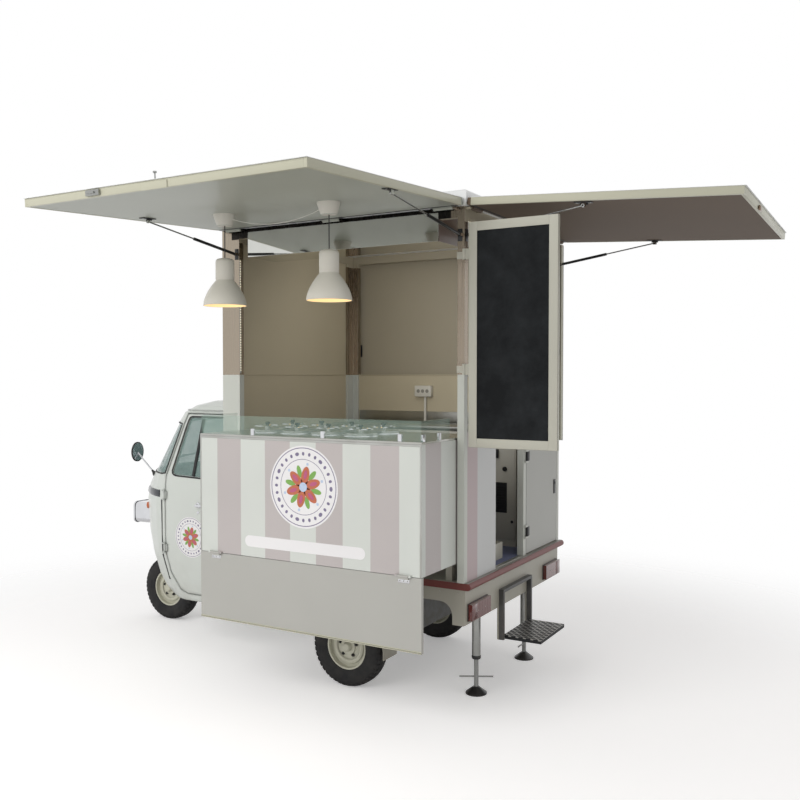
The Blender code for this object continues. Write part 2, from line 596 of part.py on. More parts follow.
# Walls between the posts
wall_gap = SEAT_GAP
front_wall_y = BODY_FRONT_Y + WALL
header_bottom = body_top - HEADER_DEPTH - wall_gap
wall_right_x = FRONT_RIGHT_COLUMN_X + wall_gap
piece("front_wall_lower", [block((wall_right_x, BODY_FRONT_Y, body_bottom),
                                 (inner_x - wall_gap, front_wall_y, SEAM_Z))], BEIGE)
piece("front_wall_upper", [block((wall_right_x, BODY_FRONT_Y, SEAM_Z + wall_gap),
                                 (inner_x - wall_gap, front_wall_y, header_bottom))], BEIGE)
right_front_y = BODY_FRONT_Y + POST * 2 + wall_gap
piece("right_wall_lower", [block((-BODY_HALF_WIDTH, right_front_y, body_bottom),
                                 (-BODY_HALF_WIDTH + WALL, BODY_REAR_Y - POST - wall_gap, SEAM_Z))], PAINT_WHITE)
piece("rear_panel_left", [block((DOORWAY_LEFT_X, BODY_REAR_Y - WALL, body_bottom),
                                (inner_x - wall_gap, BODY_REAR_Y, SILL_TOP))], PAINT_PINK)

# Mirror-faced box under the ceiling along the left opening
FASCIA_DROP = 0.185
FASCIA_BOTTOM = ROOF_UNDERSIDE - FASCIA_DROP
FASCIA_FRONT_Y = -0.660
FASCIA_REAR_Y = 0.722
FASCIA_DEPTH = 0.285
FASCIA_INNER_X = BODY_HALF_WIDTH - FASCIA_DEPTH
FASCIA_SKIN = 0.006
under_header = body_top - HEADER_DEPTH - wall_gap
fascia_face = BODY_HALF_WIDTH + wall_gap + FASCIA_SKIN
fascia_top = HINGE_Z - BARREL_RADIUS - FASCIA_SKIN
fascia_front = FASCIA_FRONT_Y + wall_gap
fascia_outline = [(FASCIA_INNER_X, FASCIA_BOTTOM), (fascia_face, FASCIA_BOTTOM), (fascia_face, fascia_top),
                  (BODY_HALF_WIDTH + wall_gap, fascia_top), (BODY_HALF_WIDTH + wall_gap, under_header),
                  (inner_x - wall_gap, under_header), (inner_x - wall_gap, body_top), (FASCIA_INNER_X, body_top)]
piece("ceiling_box", [prism(fascia_outline, "y", fascia_front, FASCIA_REAR_Y)], CHROME)

# Lifting hatches: flat insulated panels, each on three hinge barrels
LEAF_SINK = 0.014
TAB_HEIGHT_SHARE = 1.4


def hatch(name, ends, length, placed, turned_by):
    """A hatch drawn as it hangs shut below its hinge, then placed by a matrix.

    Its own axes: X out of the body, Y along the hinge, Z up, with the hinge at zero."""
    low, high = ends
    near, far = HATCH_STANDOFF, HATCH_STANDOFF + HATCH_THICKNESS
    made = piece(name, [block((near, low, -length), (far, high, 0))], PAINT_WHITE)
    made.matrix_local = placed @ turned_by
    leaf = (0, -BARREL_RADIUS * 2, near + LEAF_SINK, -BARREL_RADIUS / 2)
    tab_height = HINGE_PIN_RADIUS * TAB_HEIGHT_SHARE
    tab = box_outline(-HINGE_OUT - POST / 2, -tab_height, HINGE_PIN_RADIUS, tab_height)
    sizes = (HINGE_PIN_RADIUS, BARREL_RADIUS, BARREL_HALF)
    hinge(name + "_hinge", made, body_frame, hatch_places(low, high), placed, turned_by, sizes, leaf, tab)
    return made


open_turn = math.pi / 2 - HATCH_OPEN_DROP
side_opened = Matrix.Rotation(-open_turn, 4, "Y")
shut = Matrix.Identity(4)
quarter = Matrix.Rotation(math.pi / 2, 4, "Z")
half_turn = Matrix.Rotation(math.pi, 4, "Z")
left_place = Matrix.Translation((SIDE_HINGE_X, 0, HINGE_Z))
right_place = Matrix.Translation((-SIDE_HINGE_X, 0, HINGE_Z)) @ half_turn
rear_place = Matrix.Translation((0, REAR_HINGE_Y, HINGE_Z)) @ quarter
left_ends = (BODY_FRONT_Y, BODY_REAR_Y)
right_ends = (-BODY_REAR_Y, -BODY_FRONT_Y)
rear_ends = (-hatch_rear_half, hatch_rear_half)
hatches = {"left": hatch("left_hatch", left_ends, LEFT_HATCH_LENGTH, left_place, side_opened),
           "right": hatch("right_hatch", right_ends, RIGHT_HATCH_LENGTH, right_place, shut),
           "rear": hatch("rear_hatch", rear_ends, REAR_HATCH_LENGTH, rear_place, side_opened)}

# Gas struts: the cylinder's eye on the post, the rod's eye under the hatch
STRUT_OUT = 0.018
CYLINDER_RADIUS = 0.0095
ROD_RADIUS = 0.0045
CYLINDER_BORE = 0.0050
EYE_RADIUS = 0.010
EYE_HALF = 0.005
LOW_PIN_DROP = 0.150
PIN_RADIUS = 0.004
EYE_BORE = 0.0045
LEFT_BRACKET_ALONG = 0.755
REAR_BRACKET_ALONG = 0.650
RIGHT_BRACKET_ALONG = 0.740
CYLINDER_LENGTH_SHARE = 0.5
ROD_OVERLAP = 0.045
BRACKET_THICKNESS = 0.004
BRACKET_HALF_ALONG = 0.012
PIN_PLATE_HALF = 0.008
NECK_SHARE = 0.9
CYLINDER_START_SHARE = 1.25
NECK_START_SHARE = 1.5
LEFT_STRUT_FRONT_Y = -0.758
RIGHT_STRUT_FRONT_Y = -0.820
STRUT_REAR_Y = BODY_REAR_Y - POST / 2
STRUT_REAR_X = BODY_HALF_WIDTH - POST / 2


def strut_ends(along, opened):
    """Both pins of a strut as (out, up) from the hatch's hinge."""
    low = (STRUT_OUT - HINGE_OUT, -LOW_PIN_DROP)
    shut = (STRUT_OUT - HINGE_OUT, -along)
    turn = open_turn if opened else 0
    high = (shut[0] * math.cos(turn) - shut[1] * math.sin(turn), shut[0] * math.sin(turn) + shut[1] * math.cos(turn))
    return low, high


def strut(label, along, opened, placed, hatch_object):
    """A gas strut in the plane Y=0 of its hatch's own axes, with its pin and its bracket."""
    low, high = strut_ends(along, opened)
    low_pin = Vector((low[0], 0, low[1]))
    high_pin = Vector((high[0], 0, high[1]))
    direction = (high_pin - low_pin).normalized()
    open_low, open_high = strut_ends(along, True)
    cylinder_length = math.dist(open_low, open_high) * CYLINDER_LENGTH_SHARE
    rod_length = cylinder_length + ROD_OVERLAP
    half = Vector((0, EYE_HALF, 0))
    cylinder = [rod(low_pin - half, low_pin + half, EYE_RADIUS, 10),
                rod(low_pin + direction * EYE_BORE * NECK_START_SHARE, low_pin + direction * EYE_RADIUS * 2,
                    EYE_HALF * NECK_SHARE, 12),
                rod(low_pin + direction * EYE_RADIUS * CYLINDER_START_SHARE, low_pin + direction * cylinder_length,
                    CYLINDER_RADIUS, 10)]
    cylinder_cuts = [rod(low_pin - half * 3, low_pin + half * 3, EYE_BORE, 10),
                     rod(low_pin + direction * EYE_RADIUS * 3, low_pin + direction * (cylinder_length + CUT_OVERRUN),
                         CYLINDER_BORE, 10)]
    bar_start = high_pin - direction * rod_length
    bar = [rod(bar_start, high_pin - direction * EYE_BORE * NECK_START_SHARE, ROD_RADIUS, 10),
           rod(high_pin - half, high_pin + half, EYE_RADIUS, 10)]
    bar_cuts = [rod(high_pin - half * 3, high_pin + half * 3, EYE_BORE, 10)]
    for name, shapes, cuts, pivot in (("strut_cylinder_" + label, cylinder, cylinder_cuts, low_pin),
                                      ("strut_rod_" + label, bar, bar_cuts, high_pin)):
        piece(name, moved(shapes, placed), BLACK_METAL, cuts=moved(cuts, placed), pivot=tuple(placed @ pivot),
              smooth=SMOOTH_ANGLE)
    plate_near = EYE_HALF + SEAT_GAP
    plate_far = plate_near + BRACKET_THICKNESS
    pin = [rod((low[0], -EYE_HALF, low[1]), (low[0], plate_far - SEAT_GAP, low[1]), PIN_RADIUS, 12),
           block((-HINGE_OUT - BRACKET_THICKNESS, plate_near, low[1] - PIN_PLATE_HALF),
                 (low[0] + PIN_PLATE_HALF / 2, plate_far, low[1] + PIN_PLATE_HALF))]
    turn = Matrix.Rotation(-open_turn if opened else 0, 4, "Y")
    skin = HATCH_STANDOFF + LEAF_SINK
    bracket = block((STRUT_OUT - HINGE_OUT - PIN_PLATE_HALF, plate_near, -along - BRACKET_HALF_ALONG),
                    (skin, plate_far, -along + BRACKET_HALF_ALONG))
    join(body_frame, "strut_pin_" + label, *reversed(moved(pin, placed)))
    join(hatch_object, "strut_bracket_" + label, *moved([bracket], placed @ turn))


LEFT_STRUTS = (("left_front", LEFT_STRUT_FRONT_Y), ("left_rear", STRUT_REAR_Y))
RIGHT_STRUTS = (("right_front", RIGHT_STRUT_FRONT_Y), ("right_rear", STRUT_REAR_Y))
REAR_STRUTS = (("rear_left", STRUT_REAR_X), ("rear_right", -STRUT_REAR_X))
for strut_label, strut_y in LEFT_STRUTS:
    place = Matrix.Translation((SIDE_HINGE_X, strut_y, HINGE_Z))
    strut(strut_label, LEFT_BRACKET_ALONG, True, place, hatches["left"])
for strut_label, strut_x in REAR_STRUTS:
    place = Matrix.Translation((strut_x, REAR_HINGE_Y, HINGE_Z)) @ quarter
    strut(strut_label, REAR_BRACKET_ALONG, True, place, hatches["rear"])
for strut_label, strut_y in RIGHT_STRUTS:
    place = Matrix.Translation((-SIDE_HINGE_X, strut_y, HINGE_Z)) @ half_turn
    strut(strut_label, RIGHT_BRACKET_ALONG, False, place, hatches["right"])

# Slide-out counter: a cabinet open to the seller, a steel top with lidded wells, a glass screen and a flap
COUNTER_WALL = 0.028
COUNTER_SHEET = 0.012
WELL_RADIUS = 0.098
WELL_LID_HEIGHT = 0.018
KNOB_RADIUS = 0.016
KNOB_HEIGHT = 0.022
WELL_X = (0.900, 0.640)
WELL_Y = (-0.420, -0.190, 0.040, 0.270)
PANE = 0.006
PANE_INSET = 0.004
REAR_PANE_INNER_X = 0.860
counter_inner_x = COUNTER_OUT_X - COUNTER_DEPTH
cabinet_low = (counter_inner_x - CUT_OVERRUN, COUNTER_FRONT_Y + COUNTER_WALL, COUNTER_BOTTOM + COUNTER_WALL)
cabinet_high = (COUNTER_OUT_X - COUNTER_WALL, COUNTER_REAR_Y - COUNTER_WALL, COUNTER_TOP - COUNTER_WALL)
cabinet = block((counter_inner_x, COUNTER_FRONT_Y, COUNTER_BOTTOM), (COUNTER_OUT_X, COUNTER_REAR_Y, COUNTER_TOP))
counter = piece("counter_cabinet", [cabinet], PAINT_WHITE, cuts=[block(cabinet_low, cabinet_high)])
sheet_low = COUNTER_TOP + SEAT_GAP
sheet_high = sheet_low + COUNTER_SHEET
sheet = block((counter_inner_x, COUNTER_FRONT_Y, sheet_low), (COUNTER_OUT_X, COUNTER_REAR_Y, sheet_high))
lid_top = sheet_high + WELL_LID_HEIGHT
knob_top = lid_top + KNOB_HEIGHT
lid_low = sheet_low + COUNTER_SHEET / 2
lid_profile = [(0, lid_low), (WELL_RADIUS, lid_low), (WELL_RADIUS, lid_top), (KNOB_RADIUS, lid_top),
               (KNOB_RADIUS, knob_top), (0, knob_top)]
lids = [turned(lid_profile, (well_x, well_y, 0), (0, 0, 1), 14) for well_x in WELL_X for well_y in WELL_Y]
piece("counter_top", [sheet, lids], STAINLESS)
glass_low = sheet_high + SEAT_GAP
gx = COUNTER_OUT_X - PANE_INSET
gf = COUNTER_FRONT_Y + PANE_INSET
gr = COUNTER_REAR_Y - PANE_INSET
pane_outline = [(REAR_PANE_INNER_X, gf), (gx, gf), (gx, gr), (REAR_PANE_INNER_X, gr), (REAR_PANE_INNER_X, gr - PANE),
                (gx - PANE, gr - PANE), (gx - PANE, gf + PANE), (REAR_PANE_INNER_X, gf + PANE)]
piece("counter_glass", [prism(pane_outline, "z", glass_low, GLASS_TOP)], GLASS)

FLAP_BOTTOM = 0.484
FLAP_THICKNESS = 0.022
FLAP_SETBACK = 0.001
FLAP_OUT_X = COUNTER_OUT_X - FLAP_SETBACK
FLAP_PIN_RADIUS = 0.004
FLAP_BARREL_RADIUS = 0.008
FLAP_HINGE_OUT = 0.010
FLAP_HINGE_HALF = 0.035
FLAP_HINGE_SHARES = (0.08, 0.93)
FLAP_TOP_GAP = 0.003
FLAP_TAB_SHARE = 1.2
flap_top = COUNTER_BOTTOM - FLAP_TOP_GAP
flap_pivot = (COUNTER_OUT_X + FLAP_HINGE_OUT, (COUNTER_FRONT_Y + COUNTER_REAR_Y) / 2, COUNTER_BOTTOM)
flap_board = block((FLAP_OUT_X - FLAP_THICKNESS, COUNTER_FRONT_Y, FLAP_BOTTOM), (FLAP_OUT_X, COUNTER_REAR_Y, flap_top))
flap = piece("counter_flap", [flap_board], PAINT_GREY, pivot=flap_pivot)
flap_places = [(COUNTER_REAR_Y - COUNTER_FRONT_Y) * share for share in FLAP_HINGE_SHARES]
flap_leaf = (-FLAP_HINGE_OUT - FLAP_THICKNESS / 2, -FLAP_BARREL_RADIUS * 2, FLAP_PIN_RADIUS, -FLAP_BARREL_RADIUS / 2)
flap_tab = box_outline(-FLAP_HINGE_OUT - COUNTER_WALL / 2, -FLAP_PIN_RADIUS, FLAP_PIN_RADIUS * FLAP_TAB_SHARE,
                       FLAP_BARREL_RADIUS)
flap_tab[0] = (flap_tab[0][0], SEAT_GAP * 2)
flap_tab.insert(1, (-FLAP_HINGE_OUT + SEAT_GAP * 2, SEAT_GAP * 2))
flap_tab.insert(2, (-FLAP_HINGE_OUT + SEAT_GAP * 2, -FLAP_PIN_RADIUS))
hinge("flap_hinge", flap, counter, flap_places, Matrix.Translation((flap_pivot[0], COUNTER_FRONT_Y, COUNTER_BOTTOM)),
      shut, (FLAP_PIN_RADIUS, FLAP_BARREL_RADIUS, FLAP_HINGE_HALF), flap_leaf, flap_tab)

# Worktop cabinet along the right wall
WORKTOP_FRONT_Y = -0.784
WORKTOP_REAR_Y = 0.730
WORKTOP_INNER_X = -0.360
WORKTOP_TOP = 1.600
work_x = -BODY_HALF_WIDTH + WALL + SEAT_GAP
worktop = block((work_x, WORKTOP_FRONT_Y, body_bottom), (WORKTOP_INNER_X, WORKTOP_REAR_Y, WORKTOP_TOP))
piece("worktop_cabinet", [worktop], BEIGE)

# Rear door on the right of the doorway
DOOR_THICKNESS = 0.026
DOOR_EDGE_GAP = 0.007
DOOR_PIN_RADIUS = 0.005
DOOR_BARREL_RADIUS = 0.010
DOOR_BARREL_HALF = 0.030
DOOR_HINGE_SHARES = (0.175, 0.760)
DOOR_HINGE_WIDTH = 0.035
door_left_x = DOOR_POST_X - DOOR_POST_WIDTH - DOOR_EDGE_GAP
door_right_x = -inner_x + DOOR_EDGE_GAP
door_low = body_bottom + DOOR_EDGE_GAP
door_hinge = (DOOR_POST_X - DOOR_POST_WIDTH, BODY_REAR_Y + DOOR_BARREL_RADIUS)
door_board = block((door_right_x, BODY_REAR_Y - DOOR_THICKNESS, door_low), (door_left_x, BODY_REAR_Y, SILL_TOP))
rear_door = piece("rear_door", [door_board], PAINT_WHITE, pivot=(*door_hinge, door_low))
door_places = [(SILL_TOP - door_low) * share for share in DOOR_HINGE_SHARES]
door_leaf = (-DOOR_BARREL_RADIUS - DOOR_THICKNESS / 2, -DOOR_HINGE_WIDTH, DOOR_PIN_RADIUS / 2, -DOOR_EDGE_GAP / 2)
door_tab_near = -DOOR_BARREL_RADIUS - DOOR_THICKNESS / 2
door_tab_face = -DOOR_BARREL_RADIUS + SEAT_GAP * 4
door_tab = [(door_tab_near, DOOR_EDGE_GAP), (door_tab_face, DOOR_EDGE_GAP), (door_tab_face, -DOOR_PIN_RADIUS),
            (DOOR_PIN_RADIUS, -DOOR_PIN_RADIUS), (DOOR_PIN_RADIUS, DOOR_HINGE_WIDTH),
            (door_tab_near, DOOR_HINGE_WIDTH)]
door_axes = Matrix.Translation((*door_hinge, door_low)) @ upright(1)
hinge("rear_door_hinge", rear_door, body_frame, door_places, door_axes, shut,
      (DOOR_PIN_RADIUS, DOOR_BARREL_RADIUS, DOOR_BARREL_HALF), door_leaf, door_tab)

# Chalk board swung out from the rear left post
BOARD_BOTTOM = 1.567
BOARD_DROP = 0.103
BOARD_TOP = ROOF_UNDERSIDE - BOARD_DROP
BOARD_THICKNESS = 0.022
BOARD_INNER = 0.034
BOARD_OUTER = 0.551
BOARD_PIN_OUT = 0.040
BOARD_PIN_BACK = 0.017
BOARD_PIN_RADIUS = 0.006
BOARD_BARREL_RADIUS = 0.011
BOARD_BARREL_HALF = 0.030
BOARD_HINGE_RISE = 0.433
BOARD_HINGE_DROP = 0.172
BOARD_CLAMP_THICKNESS = 0.004
BOARD_LEAF_LENGTH = 0.035
BOARD_LEAF_THICKNESS = 0.003
BOARD_ARM_HALF = 0.007
board_pin_x = BODY_HALF_WIDTH + BOARD_PIN_OUT
board_pin_y = BODY_REAR_Y + BOARD_PIN_BACK
board_pin = (board_pin_x, board_pin_y, BOARD_BOTTOM)
board = piece("chalk_board", [block((board_pin_x - BOARD_THICKNESS / 2, board_pin_y + BOARD_INNER, BOARD_BOTTOM),
                                    (board_pin_x + BOARD_THICKNESS / 2, board_pin_y + BOARD_OUTER, BOARD_TOP))],
              BOARD_BLACK, pivot=board_pin)
board_places = [BOARD_HINGE_RISE, BOARD_TOP - BOARD_HINGE_DROP - BOARD_BOTTOM]
board_leaf = (BOARD_PIN_RADIUS, -BOARD_CLAMP_THICKNESS, BOARD_INNER + BOARD_PIN_RADIUS, BOARD_CLAMP_THICKNESS)
board_sink = -BOARD_PIN_OUT - BOARD_LEAF_THICKNESS / 2
board_face = -BOARD_PIN_OUT + BOARD_LEAF_THICKNESS
board_tab = [(-BOARD_PIN_BACK - BOARD_LEAF_LENGTH, board_sink), (BOARD_ARM_HALF, board_sink),
             (BOARD_ARM_HALF, BOARD_ARM_HALF), (-BOARD_ARM_HALF, BOARD_ARM_HALF), (-BOARD_ARM_HALF, board_face),
             (-BOARD_PIN_BACK - BOARD_LEAF_LENGTH, board_face)]
hinge("board_hinge", board, body_frame, board_places, Matrix.Translation(board_pin) @ upright(1), shut,
      (BOARD_PIN_RADIUS, BOARD_BARREL_RADIUS, BOARD_BARREL_HALF), board_leaf, board_tab)

# Folding step under the doorway
STEP_LOW_Z = 0.340
STEP_LEFT_X = 0.262
STEP_RIGHT_X = -0.160
STEP_INNER_Y = 0.915
STEP_OUTER_Y = 1.150
STEP_THICKNESS = 0.022
STEP_TOP_Z = 0.650
STEP_BAR = 0.010
STEP_BAR_BACK = 0.013
STEP_HINGE_Y = 0.905
STEP_EAR = 0.018
step_hinge_z = STEP_LOW_Z + STEP_THICKNESS / 2
step = piece("folding_step", [block((STEP_RIGHT_X, STEP_INNER_Y, STEP_LOW_Z),
                                    (STEP_LEFT_X, STEP_OUTER_Y, STEP_LOW_Z + STEP_THICKNESS))],
             BLACK_METAL, pivot=((STEP_LEFT_X + STEP_RIGHT_X) / 2, STEP_HINGE_Y, step_hinge_z))
step_pin_radius = STEP_BAR / 2
middle_x = (STEP_LEFT_X + STEP_RIGHT_X) / 2
step_half = (STEP_LEFT_X - STEP_RIGHT_X) / 2
left_bar_x = STEP_LEFT_X + STEP_EAR
right_bar_x = STEP_RIGHT_X - STEP_EAR
bracket_low = step_hinge_z - STEP_BAR_BACK
bracket_under = STEP_TOP_Z - STEP_BAR * 2
bracket_outline = [(left_bar_x + STEP_BAR, bracket_low), (left_bar_x + STEP_BAR, STEP_TOP_Z),
                   (right_bar_x - STEP_BAR, STEP_TOP_Z), (right_bar_x - STEP_BAR, bracket_low),
                   (right_bar_x + STEP_BAR, bracket_low), (right_bar_x + STEP_BAR, bracket_under),
                   (left_bar_x - STEP_BAR, bracket_under), (left_bar_x - STEP_BAR, bracket_low)]
bracket_start = BODY_REAR_Y - SKIRT_THICKNESS / 2
join(deck, "step_bracket", prism(bracket_outline, "y", bracket_start, STEP_HINGE_Y + STEP_BAR_BACK))
tread_turn = Matrix.Translation((middle_x, STEP_HINGE_Y, step_hinge_z)) @ quarter
bearing = step_half - STEP_EAR
step_web = block((0, -bearing + SEAT_GAP, -step_pin_radius), (STEP_BAR * 2, bearing - SEAT_GAP, step_pin_radius))
step_end = (0, step_half + STEP_EAR, 0)
step_start = (0, -step_half - STEP_EAR, 0)
join(step, "step_barrel", *moved([rod((0, -bearing, 0), (0, bearing, 0), STEP_BAR, 16), step_web], tread_turn))
cut(step, "step_bore", *moved([rod(step_start, step_end, step_pin_radius + SEAT_GAP, 16)], tread_turn))
join(deck, "step_pin", *moved([rod(step_start, step_end, step_pin_radius, 16)], tread_turn))

# Cab shell, lofted from the apron to the roof
SIDE_POWER = 1.6
NOSE_POINTS = 14
CAB_ROOF = 1.790
CAB_ROOF_DEPTH = 0.045
# Height, half width, where the side ends and where the nose ends
CAB_SECTIONS = (
    (CAB_BOTTOM, 0.575, -1.420, -1.880), (0.430, 0.595, -1.480, -1.965), (0.520, 0.608, -1.536, -2.015),
    (0.660, 0.618, -1.575, -2.070), (0.820, 0.624, -1.582, -2.120), (1.050, 0.626, -1.585, -2.150),
    (1.160, 0.622, -1.585, -2.110), (1.250, 0.614, -1.580, -2.030), (1.440, 0.588, -1.515, -1.890),
    (1.620, 0.562, -1.450, -1.745), (1.700, 0.545, -1.410, -1.680), (1.750, 0.500, -1.340, -1.590),
    (1.780, 0.410, -1.260, -1.470), (CAB_ROOF, 0.280, -1.180, -1.340))


def cab_loop(section, inset):
    """One level of the cab: a flat back, straight sides and a pointed round nose."""
    z, half, side_end, nose = section
    half -= inset
    depth = side_end - nose - inset
    back = CAB_REAR_Y - inset
    loop = [(half, back, z)]
    for i in range(NOSE_POINTS + 1):
        angle = math.pi * i / NOSE_POINTS
        across = math.copysign(abs(math.cos(angle)) ** (2 / SIDE_POWER), math.cos(angle))
        ahead = math.sin(angle) ** (2 / SIDE_POWER)
        loop.append((half * across, side_end - depth * ahead, z))
    loop.append((-half, back, z))
    return loop


def cab_solid(inset, low=None, high=None):
    """The cab's form drawn in by an inset, between two levels."""
    low = CAB_BOTTOM if low is None else low
    high = CAB_ROOF if high is None else high
    levels = [low] + [s[0] for s in CAB_SECTIONS if low + inset / 4 < s[0] < high - inset / 4] + [high]
    shape = loft([cab_loop(section_at(z), inset) for z in levels])
    bmesh.ops.triangulate(shape, faces=shape.faces)
    return shape


def section_at(z):
    """The cab's section at a height, between the two nearest ones."""
    for below, above in zip(CAB_SECTIONS, CAB_SECTIONS[1:]):
        if z <= above[0]:
            share = (z - below[0]) / (above[0] - below[0])
            return tuple(b + (a - b) * share for b, a in zip(below, above))
    return CAB_SECTIONS[-1]


ARCH_WELL_RADIUS = 0.290
WELL_WALL = 0.015
ARCH_WELL_TOP = 0.600
DOOR_OUTLINE = ((-1.560, 0.700), (-1.520, 0.560), (-1.440, 0.440), (-1.380, 0.415), (-0.995, 0.415), (-0.995, 1.690),
                (-1.405, 1.690), (-1.560, 1.240))
WINDOW_OUTLINE = ((-1.505, 1.275), (-1.480, 1.258), (-1.035, 1.245), (-1.035, 1.667), (-1.375, 1.667), (-1.388, 1.655))
DOOR_GAP = 0.007
SCREEN_BOTTOM = 1.265
SCREEN_TOP = 1.620
SCREEN_PILLAR = 0.030
SCREEN_REACH = 0.500
REAR_WINDOW_BOTTOM = 1.270
REAR_WINDOW_TOP = 1.590
GLASS_INSET = 0.008
GLASS_THICKNESS = 0.005
REAR_WINDOW_HALF = 0.300
STEM_RADIUS = 0.020
STEM_CLEARANCE = 0.0008
HEAD_TUBE_RADIUS = 0.048
CAB_PIN_OUT = 0.010
CAB_PIN_AHEAD = 0.0025
CAB_PIN_RADIUS = 0.004
CAB_BARREL_RADIUS = 0.0085
CAB_BARREL_HALF = 0.026
CAB_HINGE_Z = (0.730, 1.110)
CAB_LEAF_LENGTH = 0.018
CAB_LEAF_DEPTH = 0.026
CAB_TAB_LENGTH = 0.022
CAB_TAB_TOE = 0.008
CAB_TAB_HALF = 0.005


def grown(outline, amount):
    """An outline moved outwards by a distance, about its middle, corner by corner."""
    middle = [sum(p[i] for p in outline) / len(outline) for i in (0, 1)]
    return [tuple(c + amount * math.copysign(1, c - m) for c, m in zip(point, middle)) for point in outline]


STEER_RAKE = math.radians(20)
steer_axis = Vector((0, math.sin(STEER_RAKE), math.cos(STEER_RAKE)))
hub = Vector(FRONT_WHEEL)


def door_front(height):
    """The Y of the door's front edge beside the windscreen."""
    (low_y, low_z), (high_y, high_z) = DOOR_OUTLINE[-1], DOOR_OUTLINE[-2]
    return low_y + (high_y - low_y) * (height - low_z) / (high_z - low_z)


def screen_prism(gap):
    """The block that the windscreen's opening is cut with, its rear faces along the door pillars."""
    low, high = SCREEN_BOTTOM + gap, SCREEN_TOP - gap
    nose = min(section[3] for section in CAB_SECTIONS) - SCREEN_REACH
    outline = [(nose, low), (door_front(low) - SCREEN_PILLAR - gap, low), (door_front(high) - SCREEN_PILLAR - gap, high),
               (nose, high)]
    reach = CAB_SECTIONS[0][1] + CUT_OVERRUN
    return prism(outline, "x", -reach, reach)


def on_steer(height):
    """The point of the steering axis at a height."""
    return hub + steer_axis * ((height - hub.z) / steer_axis.z)


inner_floor = CAB_BOTTOM + CAB_WALL
inner_roof = CAB_ROOF - CAB_ROOF_DEPTH
stem_bore = STEM_RADIUS + STEM_CLEARANCE
cab = piece("cab_shell", [cab_solid(0)], PAINT_WHITE, cuts=[cab_solid(CAB_WALL, inner_floor, inner_roof)])
well = tool("cab_well", [rod((0, -WHEELBASE, CAB_BOTTOM), (0, -WHEELBASE, ARCH_WELL_TOP + WELL_WALL * 2),
                             ARCH_WELL_RADIUS + WELL_WALL, 40)])
combine(well, "UNION", tool("cab_head_tube", [rod(on_steer(ARCH_WELL_TOP), on_steer(ARCH_WELL_TOP + CAB_WALL * 4),
                                                  HEAD_TUBE_RADIUS, 16)]))
combine(well, "INTERSECT", tool("cab_well_keep", [cab_solid(SEAT_GAP)]))
combine(cab, "UNION", well)
door_cuts = []
for side in (1, -1):
    x0, x1 = span(side, CAB_SECTIONS[0][1] - CAB_WALL * 4, CAB_SECTIONS[5][1] + CUT_OVERRUN)
    door_cuts.append(prism(grown(DOOR_OUTLINE, DOOR_GAP), "x", x0, x1))
cut(cab, "cab_openings", rod((0, -WHEELBASE, 0), (0, -WHEELBASE, ARCH_WELL_TOP), ARCH_WELL_RADIUS, 40),
    rod(on_steer(CAB_BOTTOM), on_steer(ARCH_WELL_TOP + CAB_WALL * 8), stem_bore, 16),
    screen_prism(0),
    block((-REAR_WINDOW_HALF, CAB_REAR_Y - CAB_WALL * 2, REAR_WINDOW_BOTTOM),
          (REAR_WINDOW_HALF, CAB_REAR_Y + CUT_OVERRUN, REAR_WINDOW_TOP)),
    door_cuts)
piece("windscreen", [cab_solid(GLASS_INSET, SCREEN_BOTTOM - CAB_WALL, SCREEN_TOP + CAB_WALL)], GLASS,
      keep=[screen_prism(SEAT_GAP)],
      cuts=[cab_solid(GLASS_INSET + GLASS_THICKNESS, SCREEN_BOTTOM - CAB_WALL * 2, SCREEN_TOP + CAB_WALL * 2)])
cab_widest = max(section[1] for section in CAB_SECTIONS)
cab_leaf = (0, -CAB_LEAF_DEPTH, CAB_LEAF_LENGTH, -CAB_PIN_RADIUS / 2)
cab_tab = [(-CAB_TAB_LENGTH, -CAB_LEAF_DEPTH), (-CAB_TAB_TOE, -CAB_LEAF_DEPTH), (-CAB_TAB_TOE, -CAB_TAB_HALF),
           (CAB_TAB_HALF, -CAB_TAB_HALF), (CAB_TAB_HALF, CAB_TAB_HALF), (-CAB_TAB_LENGTH, CAB_TAB_HALF)]
for door_side, side in (("left", 1), ("right", -1)):
    x0, x1 = span(side, CAB_SECTIONS[0][1] - CAB_WALL * 4, cab_widest + CUT_OVERRUN)
    pivot = (side * (cab_widest + CAB_PIN_OUT), DOOR_OUTLINE[0][0] - CAB_PIN_AHEAD, DOOR_OUTLINE[3][1])
    cab_door = piece("cab_door_" + door_side, [cab_solid(0)], PAINT_WHITE, pivot=pivot,
                     keep=[prism(DOOR_OUTLINE, "x", x0, x1)],
                     cuts=[cab_solid(CAB_WALL), prism(WINDOW_OUTLINE, "x", x0, x1)])
    cab_places = [side * (z - pivot[2]) for z in CAB_HINGE_Z]
    hinge("cab_hinge_" + door_side, cab_door, cab, cab_places, Matrix.Translation(pivot) @ upright(side), shut,
          (CAB_PIN_RADIUS, CAB_BARREL_RADIUS, CAB_BARREL_HALF), cab_leaf, cab_tab)
    pane_edge = prism(grown(WINDOW_OUTLINE, -SEAT_GAP), "x", x0, x1)
    piece("door_glass_" + door_side, [cab_solid(GLASS_INSET)], GLASS, keep=[pane_edge],
          cuts=[cab_solid(GLASS_INSET + GLASS_THICKNESS)], pivot=pivot)

